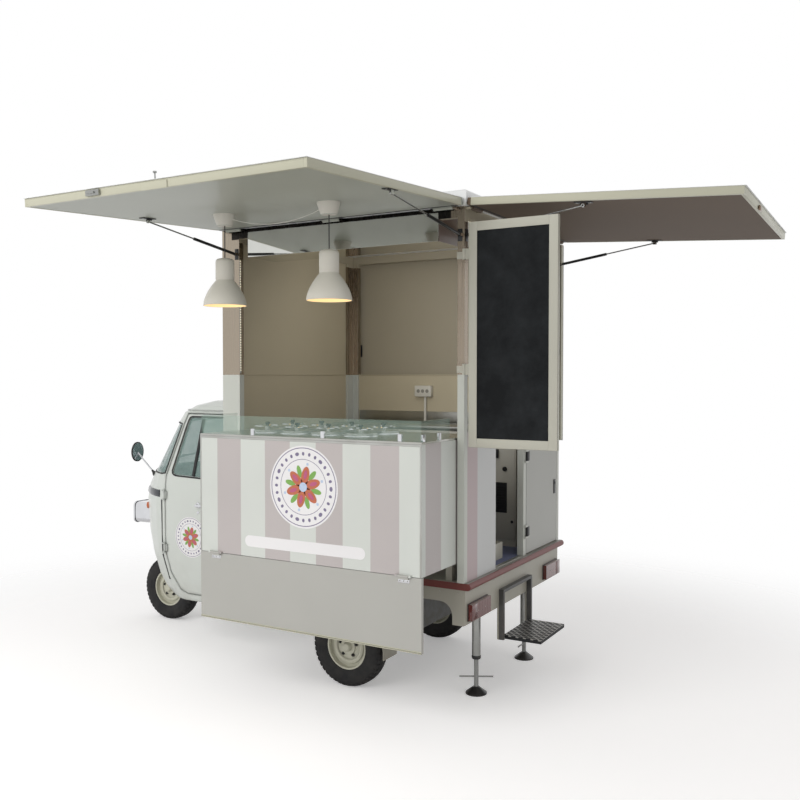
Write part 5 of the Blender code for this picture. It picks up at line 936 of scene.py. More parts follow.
# Counter: a steel top with eight lidded wells and a glass screen with bright green edges, held by steel clamps.
# The striped cabinet has an aluminium lip and corner angles. The round emblem and blank pill are printed film.
COUNTER_Y = (-0.705, 0.834)
COUNTER_FOOT = 0.893
COUNTER_TOP = 1.600
TOP_SHEET = 1.6123
WELL_RADIUS = 0.098
WELL_X = (0.900, 0.640)
WELL_Y = (-0.420, -0.190, 0.040, 0.270)
EMBLEM_PLACE = (0.069, 1.329)
EMBLEM_RADIUS = 0.237
PILL_Y = (-0.357, 0.484)
PILL_Z = (0.952, 1.019)
FILM = 0.0005
DOTS = 28
PETALS = 6
CLAMP_HEIGHT = 0.040
FRONT_CLAMPS_X = 1.190
FRONT_CLAMPS_Y = (0.701, -0.300, 0.200)
REAR_CLAMPS_X = (1.165, 0.977)


def clear_glass(label, code, cover, edge="#BFE0D2", bright=0.85):
    """Flat clear sheet with a faint tint; its upper edge shows bright green."""
    made, tree, place = material(label)
    film = ranged(tree, noise(tree, place, 60, 5.0), 0.3, 0.7, cover * 0.85, cover * 1.15)
    normal = add(tree, "ShaderNodeNewGeometry").outputs["True Normal"]
    upright = add(tree, "ShaderNodeSeparateXYZ", {}, {0: normal}).outputs["Z"]
    rim = compute(tree, "GREATER_THAN", upright, 0.7)
    return surface(made, tree, {"Base Color": mixed(tree, rim, linear(code), linear(edge)), "Roughness": 0.03,
                                "Alpha": ranged(tree, rim, 0.0, 1.0, film, bright)})


def flat_film(shape, land, outline, layer=1):
    """Adds a film cut to an outline of (y, z) points, laid on a surface that land gives."""
    shape.faces.new([shape.verts.new((land(y, z) + FILM * layer, y, z)) for y, z in outline])


def ring_film(shape, land, place, inner, outer, layer=1, steps=72, rows=1):
    """Adds a ring or a disc of film round a place."""
    radii = [inner + (outer - inner) * i / rows for i in range(rows + 1)]
    loops = []
    for i in range(steps):
        t = 2 * math.pi * i / steps
        loops.append([])
        for r in radii:
            y, z = place[0] + r * math.cos(t), place[1] + r * math.sin(t)
            loops[-1].append(shape.verts.new((land(y, z) + FILM * layer, y, z)))
    for this, following in zip(loops, loops[1:] + loops[:1]):
        for a in range(rows):
            shape.faces.new((this[a], this[a + 1], following[a + 1], following[a]))


def oval(place, reach, turn, along, across, steps=20):
    """An oval outline, its middle at a reach from a place at a turn."""
    points = []
    for i in range(steps):
        t = 2 * math.pi * i / steps
        a, b = reach + along * math.cos(t), across * math.sin(t)
        points.append((place[0] + a * math.cos(turn) - b * math.sin(turn),
                       place[1] + a * math.sin(turn) + b * math.cos(turn)))
    return points


def emblem(label, place_on, place, radius, body, side=1):
    """A printed round emblem: a white disc, thin rings, a ring of dots and a rosette of petals."""
    def land(y, z):
        """The height of the surface under a point, mirrored for the right side."""
        return side * place_on(y, z)

    white, rings, terracotta, green, mauve, pale = [bmesh.new() for _ in range(6)]
    ring_film(white, land, place, 0.002, radius, rows=8)
    for inner, outer in ((0.935, 0.955), (0.665, 0.678)):
        ring_film(rings, land, place, radius * inner, radius * outer, 2)
    for i in range(DOTS):
        across = 0.036 if i % 4 else 0.058
        turn = 2 * math.pi * i / DOTS
        flat_film(rings, land, oval(place, radius * 0.805, turn, radius * 0.045, radius * across), 2)
    for i in range(PETALS):
        turn = 2 * math.pi * i / PETALS + 0.3
        leaf = turn + math.pi / PETALS
        flat_film(green, land, oval(place, radius * 0.39, leaf, radius * 0.15, radius * 0.065), 2)
        flat_film(terracotta, land, oval(place, radius * 0.27, turn, radius * 0.24, radius * 0.115), 3)
        flat_film(pale, land, oval(place, radius * 0.57, turn, radius * 0.035, radius * 0.035), 2)
        flat_film(mauve, land, oval(place, radius * 0.31, turn, radius * 0.11, radius * 0.05), 4)
    flat_film(pale, land, oval(place, 0, 0, radius * 0.115, radius * 0.115), 5)
    for shape in (white, rings, terracotta, green, mauve, pale):
        bmesh.ops.scale(shape, vec=(side, 1, 1), verts=shape.verts)
    parts = ((white, "emblem_white_film", "#E4E2E2"), (rings, "emblem_mauve_grey_print", "#77708A"),
             (terracotta, "emblem_terracotta_print", "#B9684A"), (green, "emblem_green_print", "#79A552"),
             (mauve, "emblem_mauve_print", "#B4587C"), (pale, "emblem_pale_blue_print", "#B7C6DC"))
    piece(label, [(shape, film_paint(name, code)) for shape, name, code in parts], body)


def film_paint(name, code):
    """Printed vinyl film, one material for each colour."""
    return bpy.data.materials.get(name) or coach_paint(name, code, 0.4, 0.1, 0.0)


dress(steel("brushed_counter_steel", "#C4C4C0", 0.24, (1, 30, 30)), "counter_top")
dress(clear_glass("counter_glass_sheet", "#A2BDB0", 0.15), "counter_glass")
LID_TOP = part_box("counter_top")[1].z
rims, knobs = bmesh.new(), bmesh.new()
for x in WELL_X:
    for y in WELL_Y:
        lathe(rims, [(WELL_RADIUS + 0.0095, TOP_SHEET), (WELL_RADIUS + 0.0085, TOP_SHEET + 0.004),
                     (WELL_RADIUS + 0.002, TOP_SHEET + 0.005), (WELL_RADIUS + 0.0006, TOP_SHEET)],
              (x, y, 0), (0, 0, 1), 56)
        lathe(rims, [(0.080, LID_TOP - 0.001), (0.078, LID_TOP + 0.003), (0.070, LID_TOP + 0.003),
                     (0.068, LID_TOP - 0.001)], (x, y, 0), (0, 0, 1), 48)
        lathe(knobs, [(0.010, LID_TOP - 0.001), (0.009, LID_TOP + 0.008), (0.016, LID_TOP + 0.013),
                      (0.016, LID_TOP + 0.020), (0.012, LID_TOP + 0.024), (0, LID_TOP + 0.025)],
              (x, y, 0), (0, 0, 1), 24)
piece("counter_lid_rings_and_knobs", [(rims, chrome), (knobs, dark_plastic)], "counter")
edging, clamps = bmesh.new(), bmesh.new()
lip_foot = COUNTER_TOP - 0.013
block(edging, (COUNTER_FACE_X, COUNTER_Y[0], lip_foot),
      (COUNTER_FACE_X + 0.0012, COUNTER_Y[1], COUNTER_TOP), 0.0004)
for y0, y1 in ((COUNTER_Y[0], COUNTER_Y[0] + 0.010), (COUNTER_Y[1] - 0.010, COUNTER_Y[1])):
    block(edging, (COUNTER_FACE_X, y0, COUNTER_FOOT + 0.001), (COUNTER_FACE_X + 0.0010, y1, lip_foot), 0.0004)
for y in FRONT_CLAMPS_Y:
    block(clamps, (FRONT_CLAMPS_X - 0.006, y - 0.012, TOP_SHEET),
          (FRONT_CLAMPS_X + 0.009, y + 0.012, TOP_SHEET + CLAMP_HEIGHT), 0.002)
for x in REAR_CLAMPS_X:
    block(clamps, (x - 0.012, 0.818, TOP_SHEET), (x + 0.012, 0.833, TOP_SHEET + CLAMP_HEIGHT), 0.002)
piece("counter_edging_and_clamps", [(edging, alloy), (clamps, chrome)], "counter")


def counter_face(y, z):
    """The counter's outer face is flat."""
    return COUNTER_FACE_X


emblem("counter_emblem", counter_face, EMBLEM_PLACE, EMBLEM_RADIUS, "counter")
half = (PILL_Z[1] - PILL_Z[0]) / 2
pill_outline = []
for y, first in ((PILL_Y[1] - half, -90), (PILL_Y[0] + half, 90)):
    for i in range(13):
        t = math.radians(first + 15 * i)
        pill_outline.append((y + half * math.cos(t), PILL_Z[0] + half + half * math.sin(t)))
pill = bmesh.new()
flat_film(pill, counter_face, pill_outline)
piece("counter_pill", [(pill, film_paint("emblem_white_film", "#E4E2E2"))], "counter")

# Counter flap: a grey laminate board that hangs from two chrome butt hinges, its lower edge in a pale strip.
# Along the strip's middle a thin dark strip paints the shade of a groove.
dress(coach_paint("flap_grey_laminate", "#ACABA5", 0.45, 0.1, 0.0), "counter_flap")
FLAP_LOW, FLAP_HIGH = [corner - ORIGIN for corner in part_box("counter_flap")]
FLAP_FACE_X = 1.197
HINGE_HALF = 0.035
HINGE_LEAF_Z = (0.856, 0.886)
HINGE_SHARES = (0.08, 0.93)
hinges, strip, painted_groove_shade, pins = [bmesh.new() for _ in range(4)]
for share in HINGE_SHARES:
    y = FLAP_LOW.y + (FLAP_HIGH.y - FLAP_LOW.y) * share
    block(hinges, (FLAP_FACE_X, y - HINGE_HALF, HINGE_LEAF_Z[0]),
          (FLAP_FACE_X + 0.0016, y + HINGE_HALF, HINGE_LEAF_Z[1]), 0.0005)
    for across in (-0.024, 0, 0.024):
        bolt(pins, Vector((FLAP_FACE_X + 0.0016, y + across, 0.867)), (1, 0, 0), 0.0035, 0.0012, 12)
block(strip, (FLAP_FACE_X, FLAP_LOW.y, FLAP_LOW.z),
      (FLAP_FACE_X + 0.0010, FLAP_HIGH.y, FLAP_LOW.z + 0.014), 0.0004)
# Painted shade: a thin dark strip stands for the groove's shade.
block(painted_groove_shade, (FLAP_FACE_X + 0.0009, FLAP_LOW.y, FLAP_LOW.z + 0.006),
      (FLAP_FACE_X + 0.0012, FLAP_HIGH.y, FLAP_LOW.z + 0.008))
parts = [(hinges, chrome), (pins, zinc), (strip, edge_cream), (painted_groove_shade, dark_plastic)]
piece("flap_hinges_and_strip", parts, "counter_flap")

# Worktop cabinet: white laminate with a folded steel top and upstand, and one door on the aisle side.
# The door has a black vent, a pull, a round knob and a key plate.
WORKTOP_X = (-0.757, -0.360)
WORKTOP_Y = (-0.784, 0.730)
WORKTOP_Z = (1.6002, 1.6024)
FRONT_Z = (0.836, 1.566)
FRONT_PANELS_Y = ((0.290, 0.722), (-0.150, 0.284))
PANEL_BACK_X = WORKTOP_X[1] + 0.0003
PANEL_FACE_X = WORKTOP_X[1] + 0.0035
VENT_Y = (0.5715, 0.666)
VENT_Z = (1.018, 1.227)
cabinet_white = coach_paint("worktop_white_laminate", "#BFBCB1", 0.45, 0.1, 0.0)
dress(cabinet_white, "worktop_cabinet")
top_plate, front, slots, pulls = [bmesh.new() for _ in range(4)]
block(top_plate, (WORKTOP_X[0] + 0.001, WORKTOP_Y[0], WORKTOP_Z[0]),
      (WORKTOP_X[1] + 0.004, WORKTOP_Y[1] + 0.002, WORKTOP_Z[1]), 0.0008)
block(top_plate, (WORKTOP_X[1] + 0.001, WORKTOP_Y[0], 1.572),
      (PANEL_FACE_X, WORKTOP_Y[1] + 0.002, 1.6015), 0.0008)
block(top_plate, (WORKTOP_X[0] + 0.0015, WORKTOP_Y[0], WORKTOP_Z[0]),
      (WORKTOP_X[0] + 0.006, WORKTOP_Y[1], 1.689), 0.001)
for y0, y1 in FRONT_PANELS_Y:
    block(front, (PANEL_BACK_X, y0, FRONT_Z[0]), (PANEL_FACE_X, y1, FRONT_Z[1]), 0.001)
block(slots, (PANEL_FACE_X, VENT_Y[0], VENT_Z[0]), (WORKTOP_X[1] + 0.006, VENT_Y[1], VENT_Z[1]), 0.001)
for z in steps_between(1.030, 1.212, 0.018):
    block(slots, (WORKTOP_X[1] + 0.006, 0.580, z), (WORKTOP_X[1] + 0.0085, 0.658, z + 0.008), 0.0005)
block(pulls, (PANEL_FACE_X, 0.570, 1.395), (WORKTOP_X[1] + 0.020, 0.605, 1.456), 0.004)
lathe(pulls, [(0.016, 0), (0.016, 0.010), (0.012, 0.016), (0, 0.016)],
      (PANEL_FACE_X, 0.650, 1.321), (1, 0, 0), 24)
lathe(pulls, [(0.010, 0), (0.010, 0.002), (0, 0.002)], (PANEL_FACE_X, 0.7035, 0.9585), (1, 0, 0), 20)
plate_steel = steel("worktop_brushed_steel", "#BDBDB9", 0.28, (30, 1, 30))
piece("worktop_top_plate", [(top_plate, plate_steel)], "body")
parts = [(front, cabinet_white), (slots, dark_plastic), (pulls, dark_plastic)]
piece("worktop_front", parts, "body")

# Rear door: a grey laminate leaf with two black flag hinges and a flush lock.
# An alloy sill strip lies on the deck in the doorway.
DOOR_HINGES_Z = (0.940, 1.436)
LEAF = 0.0016
door_colour = split("Y", BODY_REAR_Y + 0.0012, "#18181A", "#A2A29C")
dress(coach_paint("rear_door_grey_laminate", door_colour, 0.42, 0.15, 0.1), "rear_door")
leaves, lock = bmesh.new(), bmesh.new()
for z in DOOR_HINGES_Z:
    block(leaves, (-0.212, BODY_REAR_Y, z - 0.026), (-0.168, BODY_REAR_Y + LEAF, z + 0.026), 0.0006)
    for x in (-0.202, -0.180):
        for rise in (0.014, -0.014):
            bolt(leaves, Vector((x, BODY_REAR_Y + LEAF, z + rise)), (0, 1, 0), 0.004, 0.0012, 12)
block(lock, (-0.712, BODY_REAR_Y, 1.130), (-0.676, BODY_REAR_Y + 0.004, 1.230), 0.0015)
lathe(lock, [(0.010, 0), (0.010, 0.003), (0.004, 0.003), (0.004, 0.0015), (0, 0.0015)],
      (-0.694, BODY_REAR_Y + 0.004, 1.205), (0, 1, 0), 24)
piece("rear_door_hinges_and_lock", [(leaves, dark_plastic), (lock, dark_plastic)], "rear_door")
sill = block(bmesh.new(), (-0.105, BODY_REAR_Y - 0.045, DECK_TOP + 0.0002),
             (0.338, BODY_REAR_Y - 0.004, DECK_TOP + 0.0030), 0.001)
piece("doorway_sill_strip", [(sill, alloy)], "body")

# Chalk board: a black writing field in a pale painted frame that laps its edges.
# Two pale clamps hold its hinges on the post.
BOARD_LOW = Vector((0.814, 0.936, 1.567))
BOARD_HIGH = Vector((0.836, 1.453, 2.812))
FRAME_WIDTH = 0.050
EDGE_LAP = 0.0012
CLAMPS_Z = (2.000, 2.640)


def chalk_black():
    """Matt blackboard paint with faint wiped chalk."""
    made, tree, place = material("chalk_board_black")
    wiped = noise(tree, place, 220, 6.0, 0.7)
    base = mixed(tree, ranged(tree, wiped, 0.4, 0.8, 0.0, 0.06), linear("#0E1012"), linear("#8C9296"))
    hinge = compute(tree, "LESS_THAN", axis_of(tree, place, "Y"), BOARD_LOW.y - 0.0008)
    base = mixed(tree, hinge, base, linear("#B6B4A7"))
    return surface(made, tree, {"Base Color": base, "Roughness": 0.75, "Specular IOR Level": 0.25,
                                "Normal": bumped(tree, noise(tree, place, 1.5), 0.05)})


dress(chalk_black(), "chalk_board")
frame_paint = coach_paint("board_frame_pale_paint", "#B6B4A7", 0.45, 0.1, 0.0)
rails = bmesh.new()
for face, proud in ((BOARD_HIGH.x, 0.0035), (BOARD_LOW.x, -0.0008)):
    x0, x1 = sorted((face, face + proud))
    for y0, y1 in ((BOARD_LOW.y, BOARD_LOW.y + FRAME_WIDTH), (BOARD_HIGH.y - FRAME_WIDTH, BOARD_HIGH.y)):
        block(rails, (x0, y0, BOARD_LOW.z), (x1, y1, BOARD_HIGH.z), 0.0008)
    for z0, z1 in ((BOARD_LOW.z, BOARD_LOW.z + FRAME_WIDTH), (BOARD_HIGH.z - FRAME_WIDTH, BOARD_HIGH.z)):
        block(rails, (x0, BOARD_LOW.y + FRAME_WIDTH, z0), (x1, BOARD_HIGH.y - FRAME_WIDTH, z1), 0.0008)
block(rails, (BOARD_LOW.x, BOARD_HIGH.y, BOARD_LOW.z),
      (BOARD_HIGH.x, BOARD_HIGH.y + EDGE_LAP, BOARD_HIGH.z), 0.0004)
block(rails, (BOARD_LOW.x, BOARD_LOW.y, BOARD_LOW.z - EDGE_LAP),
      (BOARD_HIGH.x, BOARD_HIGH.y, BOARD_LOW.z), 0.0004)
piece("chalk_board_frame", [(rails, frame_paint)], "chalk_board")
clamps = bmesh.new()
for z in CLAMPS_Z:
    block(clamps, (0.7852, 0.838, z - 0.020), (0.7876, 0.884, z + 0.020), 0.0008)
piece("board_hinge_clamps", [(clamps, frame_paint)], "body")

# Cab: pressed steel in off-white coach paint, its glass set in black rubber, a rain gutter under the roof,
# a dark moulding round the nose and a dark trim down each door's front edge. The seals are extruded strips.
CAB_AXIS_Y = -1.300
GUTTER_Z = 1.716
GUTTER_TURN_Y = -1.29
PILLAR_FRONT = 0.034
BROW_Z = 1.115
BROW_END_Y = -1.620
SCREEN_Z = (1.265, 1.620)
SEAL_OUT = 0.006
PILLAR_BACK = 0.030
RAIL_Y = (-0.950, -1.280)
TRIM_Y = -1.600
TRIM_KICK_Z = 0.660
CAB_ROUND = 0.030
SEAL_SECTION = ((-0.0055, -0.001), (-0.0055, 0.0024), (-0.003, 0.0042), (0.003, 0.0042), (0.0055, 0.0024),
                (0.0055, -0.001))
BROW_SECTION = ((-0.026, -0.001), (-0.024, 0.005), (-0.012, 0.009), (0.012, 0.009), (0.024, 0.005),
                (0.026, -0.001))
GUTTER_SECTION = ((-0.007, -0.001), (-0.007, 0.007), (-0.004, 0.008), (-0.003, 0.004), (0.006, 0.003),
                  (0.007, -0.001))
TRIM_SECTION = ((-0.008, -0.001), (-0.006, 0.004), (0.006, 0.004), (0.008, -0.001))
TRIM_SPANS = ((1.075, 0.700), (0.680, 0.500))
DOOR_FRONT = ((1.240, -1.560), (1.690, -1.405))
WINDOW = ((-1.505, 1.275), (-1.480, 1.258), (-1.035, 1.245), (-1.035, 1.667), (-1.375, 1.667), (-1.388, 1.655))


def skin_of(*nodes):
    """A search tree over the faces of CAD nodes, in the vehicle's axes."""
    places, faces = [], []
    for name in nodes:
        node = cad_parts[name]
        start = len(places)
        places.extend(node.matrix_world @ vertex.co - ORIGIN for vertex in node.data.vertices)
        faces.extend([start + i for i in face.vertices] for face in node.data.polygons)
    return BVHTree.FromPolygons(places, faces)


def beside(skin, side, y, z):
    """The place and outward normal where a ray from the side meets a skin."""
    place, normal = skin.ray_cast(Vector((side * 1.2, y, z)), Vector((-side, 0, 0)), 1.1)[:2]
    return None if place is None else (place, normal)


def around(skin, turn, z):
    """The same for a ray from outside toward the cab's axis, a turn away from dead ahead."""
    aim = Vector((math.sin(turn), -math.cos(turn), 0))
    place, normal = skin.ray_cast(Vector((0, CAB_AXIS_Y, z)) + aim * 2, -aim, 2)[:2]
    return None if place is None else (place, normal)


def laid(shape, hits, section, closed=False):
    """Adds a section drawn along the places of ray hits, its second axis along their normals."""
    found = [hit for hit in hits if hit]
    rows = []
    for i, (point, normal) in enumerate(found):
        ahead = found[(i + 1) % len(found)][0] if closed or i + 1 < len(found) else point
        behind = found[i - 1][0] if closed or i else point
        along = (ahead - behind).normalized()
        raised = (normal - along * normal.dot(along)).normalized()
        across = along.cross(raised)
        rows.append([shape.verts.new(point + across * a + raised * b) for a, b in section])
    count = len(section)
    for this, following in zip(rows, rows[1:] + (rows[:1] if closed else [])):
        for a in range(count):
            b = (a + 1) % count
            shape.faces.new((this[a], this[b], following[b], following[a]))
    if not closed:
        shape.faces.new(rows[0])
        shape.faces.new(reversed(rows[-1]))


def grown_outline(outline, out):
    """An outline moved outward, its long edges divided and its corners cut."""
    middle = sum((Vector(p) for p in outline), Vector((0, 0))) / len(outline)
    moved = []
    for i, point in enumerate(outline):
        point, before, after = Vector(point), Vector(outline[i - 1]), Vector(outline[(i + 1) % len(outline)])
        sides = []
        for a, b in ((before, point), (point, after)):
            run = (b - a).normalized()
            normal = Vector((run.y, -run.x))
            sides.append(normal if normal.dot(point - middle) > 0 else -normal)
        bisector = (sides[0] + sides[1]).normalized()
        moved.append(point + bisector * out / max(0.5, bisector.dot(sides[0])))
    fine = []
    for i, point in enumerate(moved):
        after = moved[(i + 1) % len(moved)]
        reach = (after - point).length
        trim = min(0.012, reach / 3) / reach
        steps = max(1, int(reach / 0.05))
        for k in range(steps + 1):
            fine.append(point.lerp(after, trim + (1 - 2 * trim) * k / steps))
    return fine


def door_front(z):
    """The door's slanted front edge beside the glass."""
    (z0, y0), (z1, y1) = DOOR_FRONT
    return y0 + (y1 - y0) * (z - z0) / (z1 - z0)


cab_white = coach_paint("cab_white_coach_paint", "#C9CDC7", rounded=CAB_ROUND)
dress(cab_white, "cab_shell", "cab_door_left", "cab_door_right")
# The windows' grey-green cover is partly the glass's own tint and partly a painted reflection.
dress(clear_glass("cab_window_glass_tint_and_painted_reflection", "#8FA8A3", 0.42, "#A8C4BB", 0.7), "windscreen", "door_glass_left",
      "door_glass_right")
seal_black = rubber("seal_black_rubber", "#18191A", 3.0, 0.55)
moulding_dark = steel("moulding_dark_chrome", "#54565A", 0.16, dark="#3C3E42")
shell_skin = skin_of("cab_shell", "cab_door_left", "cab_door_right")
screen_seal, brow, gutter, edge_trims = [bmesh.new() for _ in range(4)]
nose_turns = [math.radians(a) for a in range(-110, 111, 4)]


def nose_row(z, end_y, facing=1):
    """Hits round the nose at a height, as far back as a place along the cab."""
    row = [around(shell_skin, facing * turn, z) for turn in nose_turns]
    return [hit for hit in row if hit and hit[0].y < end_y]


rows = [nose_row(z, door_front(z) - PILLAR_FRONT) for z in (SCREEN_Z[0] - SEAL_OUT, SCREEN_Z[1] + SEAL_OUT)]
pillar_steps = steps_between(*SCREEN_Z, 0.04)
pillars = []
for side in (1, -1):
    pillars.append([beside(shell_skin, side, door_front(z) - PILLAR_BACK + SEAL_OUT, z) for z in pillar_steps])
laid(screen_seal, rows[0] + pillars[0] + rows[1][::-1] + pillars[1][::-1], SEAL_SECTION, True)
laid(brow, nose_row(BROW_Z, BROW_END_Y), BROW_SECTION)
rail = [beside(shell_skin, 1, y, GUTTER_Z) for y in steps_between(*RAIL_Y, 0.06)]
rail += nose_row(GUTTER_Z, GUTTER_TURN_Y, -1)
rail += [beside(shell_skin, -1, y, GUTTER_Z) for y in steps_between(*RAIL_Y[::-1], 0.06)]
laid(gutter, rail, GUTTER_SECTION)
for side in (1, -1):
    for top, bottom in TRIM_SPANS:
        heights = steps_between(top, bottom, 0.04)
        hits = [beside(shell_skin, side, TRIM_Y + max(0, TRIM_KICK_Z - z) * 0.35, z) for z in heights]
        laid(edge_trims, hits, TRIM_SECTION)
parts = [(screen_seal, seal_black), (brow, moulding_dark), (gutter, cab_white), (edge_trims, seal_black)]
piece("cab_seals_and_mouldings", parts, "body")

# Cab doors: a rubber seal round each window, an upright that parts off the quarter light, a chrome lever and
# its lock, and the round emblem printed on film that follows the panel.
DOOR_EMBLEM = (-1.324, 0.824)
DOOR_EMBLEM_RADIUS = 0.144
DOOR_SKIN_X = 0.62
LEVER_PLACE = (-1.251, 1.057)
KEY_DROP = 0.052
UPRIGHT_TOP = (-1.262, 1.660)
UPRIGHT_Z = (1.655, 1.255)
UPRIGHT_LEAN = 0.12
UPRIGHT_SECTION = ((-0.012, -0.004), (-0.012, 0.006), (-0.009, 0.009), (0.009, 0.009), (0.012, 0.006),
                   (0.012, -0.004))
for side, side_name in ((1, "left"), (-1, "right")):
    node = "cab_door_" + side_name
    door_skin = skin_of(node)
    glass_skin = skin_of("door_glass_" + side_name)
    seal, upright, lever, lock = [bmesh.new() for _ in range(4)]
    laid(seal, [beside(door_skin, side, y, z) for y, z in grown_outline(WINDOW, SEAL_OUT)], SEAL_SECTION, True)
    heights = steps_between(*UPRIGHT_Z, 0.05)
    bar = [beside(glass_skin, side, UPRIGHT_TOP[0] - (UPRIGHT_TOP[1] - z) * UPRIGHT_LEAN, z) for z in heights]
    laid(upright, bar, UPRIGHT_SECTION)
    spot, outward = beside(door_skin, side, *LEVER_PLACE)
    lathe(lever, [(0.019, -0.001), (0.019, 0.004), (0.010, 0.010), (0.010, 0.026), (0, 0.028)],
          spot, (side, 0, 0), 28)
    x0, x1 = sorted((spot.x + side * 0.018, spot.x + side * 0.030))
    block(lever, (x0, LEVER_PLACE[0] - 0.010, LEVER_PLACE[1] - 0.011),
          (x1, LEVER_PLACE[0] + 0.112, LEVER_PLACE[1] + 0.009), 0.005)
    key_place = beside(door_skin, side, LEVER_PLACE[0], LEVER_PLACE[1] - KEY_DROP)[0]
    lathe(lock, [(0.010, -0.001), (0.010, 0.003), (0.007, 0.004), (0, 0.004)], key_place, (side, 0, 0), 24)
    parts = [(seal, seal_black), (upright, seal_black), (lever, chrome), (lock, chrome)]
    piece("door_fittings_" + side_name, parts, node)

    def door_face(y, z, skin=door_skin, facing=side):
        """The door skin's place beside a point."""
        hit = beside(skin, facing, y, z)
        return hit[0].x if hit else facing * DOOR_SKIN_X

    emblem("door_emblem_" + side_name, door_face, DOOR_EMBLEM, DOOR_EMBLEM_RADIUS, node, side)

# Headlamp: a chromed box with a rounded-square fluted lens in a bright bezel.
# Small amber indicators sit on the nose below the windscreen.
LAMP_FACE_Y = -2.445
LAMP_Z = 0.848
LAMP_HALF = 0.085
LAMP_CORNER_SHARE = 0.42
FLUTE_MM = 9
INDICATOR_TURN = math.radians(34)
INDICATOR_Z = 0.985
dress(chrome, "headlamp", "mirror_left", "mirror_right")


def rounded_square(half, corner, steps=5):
    """An outline of (x, z) points with round corners."""
    points = []
    for quarter, (sx, sz) in enumerate(((1, 1), (-1, 1), (-1, -1), (1, -1))):
        for i in range(steps + 1):
            t = math.radians(90 * quarter + 90 * i / steps)
            points.append((sx * (half - corner) + corner * math.cos(t),
                           sz * (half - corner) + corner * math.sin(t)))
    return points


def fluted_lens():
    """Pressed clear glass over a bright reflector. A drawn flute is about six times FLUTE_MM wide."""
    made, tree, place = material("headlamp_fluted_glass")
    wave = add(tree, "ShaderNodeTexWave", {"bands_direction": "X"},
               {"Vector": place, "Scale": 1000 / FLUTE_MM / 20}).outputs["Fac"]
    return surface(made, tree, {"Base Color": linear("#D9DEDC"), "Roughness": 0.08, "Metallic": 0.4,
                                "Coat Weight": 1.0, "Coat Roughness": 0.02, "Normal": bumped(tree, wave, 0.8)})


def pressed(shape, steps):
    """Joins rounded squares of (half width, depth) into a pressed form and gives back the last one."""
    loops = []
    for half, depth in steps:
        outline = rounded_square(half, half * LAMP_CORNER_SHARE)
        loops.append([shape.verts.new((x, LAMP_FACE_Y + depth, LAMP_Z + z)) for x, z in outline])
    for this, following in zip(loops, loops[1:]):
        for a in range(len(this)):
            b = (a + 1) % len(this)
            shape.faces.new((this[a], this[b], following[b], following[a]))
    return loops[-1]


bezel, lens_glass, blinkers = [bmesh.new() for _ in range(3)]
pressed(bezel, ((LAMP_HALF + 0.003, 0.014), (LAMP_HALF + 0.003, -0.001), (LAMP_HALF - 0.003, -0.004),
                (LAMP_HALF - 0.010, -0.0035), (LAMP_HALF - 0.012, -0.0005)))
lens_steps = ((1.0, -0.0008), (0.8, -0.0030), (0.5, -0.0052), (0.2, -0.0062))
inmost = pressed(lens_glass, [((LAMP_HALF - 0.011) * share, depth) for share, depth in lens_steps])
lens_glass.faces.new(inmost)
piece("headlamp_bezel_and_lens", [(bezel, chrome), (lens_glass, fluted_lens())], "body")
for turn in (INDICATOR_TURN, -INDICATOR_TURN):
    spot, outward = around(shell_skin, turn, INDICATOR_Z)
    lathe(blinkers, [(0.026, -0.004), (0.026, 0.010), (0.022, 0.018), (0.010, 0.023), (0, 0.024)],
          spot, outward, 32)
piece("front_indicators", [(blinkers, amber)], "body")

# Mirrors: chromed heads on thin stalks, silvered glass in a black lip, and a black rubber boot at the foot.
# The wiper has a black arm and blade on the glass and parks along the lower edge.
MIRROR_HEAD = (0.500, -1.972, 1.394)
MIRROR_FOOT = (0.440, -1.850, 1.230)
MIRROR_TURN = math.radians(12)
MIRROR_RADIUS = 0.072
MIRROR_HALF = 0.008
PANE_PROFILE = ((-0.005, 0.0004), (-0.006, 0.0012), (-MIRROR_RADIUS, 0.0014))
LIP_PROFILE = ((0.0012, -0.008), (0.0016, 0), (-0.001, 0.003), (-0.005, 0.002), (-0.005, 0.0002))
WIPER_TURN = math.radians(16)
WIPER_Z = 1.245
BLADE_SECTION = ((-0.004, 0.002), (-0.002, 0.012), (0.002, 0.012), (0.004, 0.002))
ARM_SECTION = ((-0.004, -0.002), (-0.004, 0.002), (0.004, 0.002), (0.004, -0.002))
ARM_OUT = 0.016
silvered = steel("mirror_silvered_glass", "#C6CDD0", 0.02, dark="#BCC3C6")
for side, side_name in ((1, "left"), (-1, "right")):
    facing = Vector((-side * math.sin(MIRROR_TURN), math.cos(MIRROR_TURN), 0))
    head = Vector((side * MIRROR_HEAD[0], *MIRROR_HEAD[1:]))
    pane, lip, boot = bmesh.new(), bmesh.new(), bmesh.new()
    for shape, profile in ((pane, PANE_PROFILE), (lip, LIP_PROFILE)):
        lathe(shape, [(MIRROR_RADIUS + out, MIRROR_HALF + rise) for out, rise in profile], head, facing, 48)
    foot = Vector((side * MIRROR_FOOT[0], *MIRROR_FOOT[1:]))
    stalk = (head - foot).normalized()
    lathe(boot, [(0.019, -0.010), (0.018, 0.004), (0.011, 0.016), (0.0064, 0.034)], foot, stalk, 28)
    parts = [(pane, silvered), (lip, seal_black), (boot, seal_black)]
    piece("mirror_fittings_" + side_name, parts, "body")
wiper, pivot = bmesh.new(), bmesh.new()
glass_front = skin_of("windscreen")
blade_path = [around(glass_front, math.radians(a), 1.300 + (12 - a) * 0.0016) for a in range(-22, 13, 3)]
laid(wiper, blade_path, BLADE_SECTION)
arm_path = [around(glass_front, WIPER_TURN - math.radians(k * 2.6), 1.275 + k * 0.0065) for k in range(8)]
arm_path = [(place + normal * ARM_OUT, normal) for place, normal in filter(None, arm_path)]
laid(wiper, arm_path, ARM_SECTION)
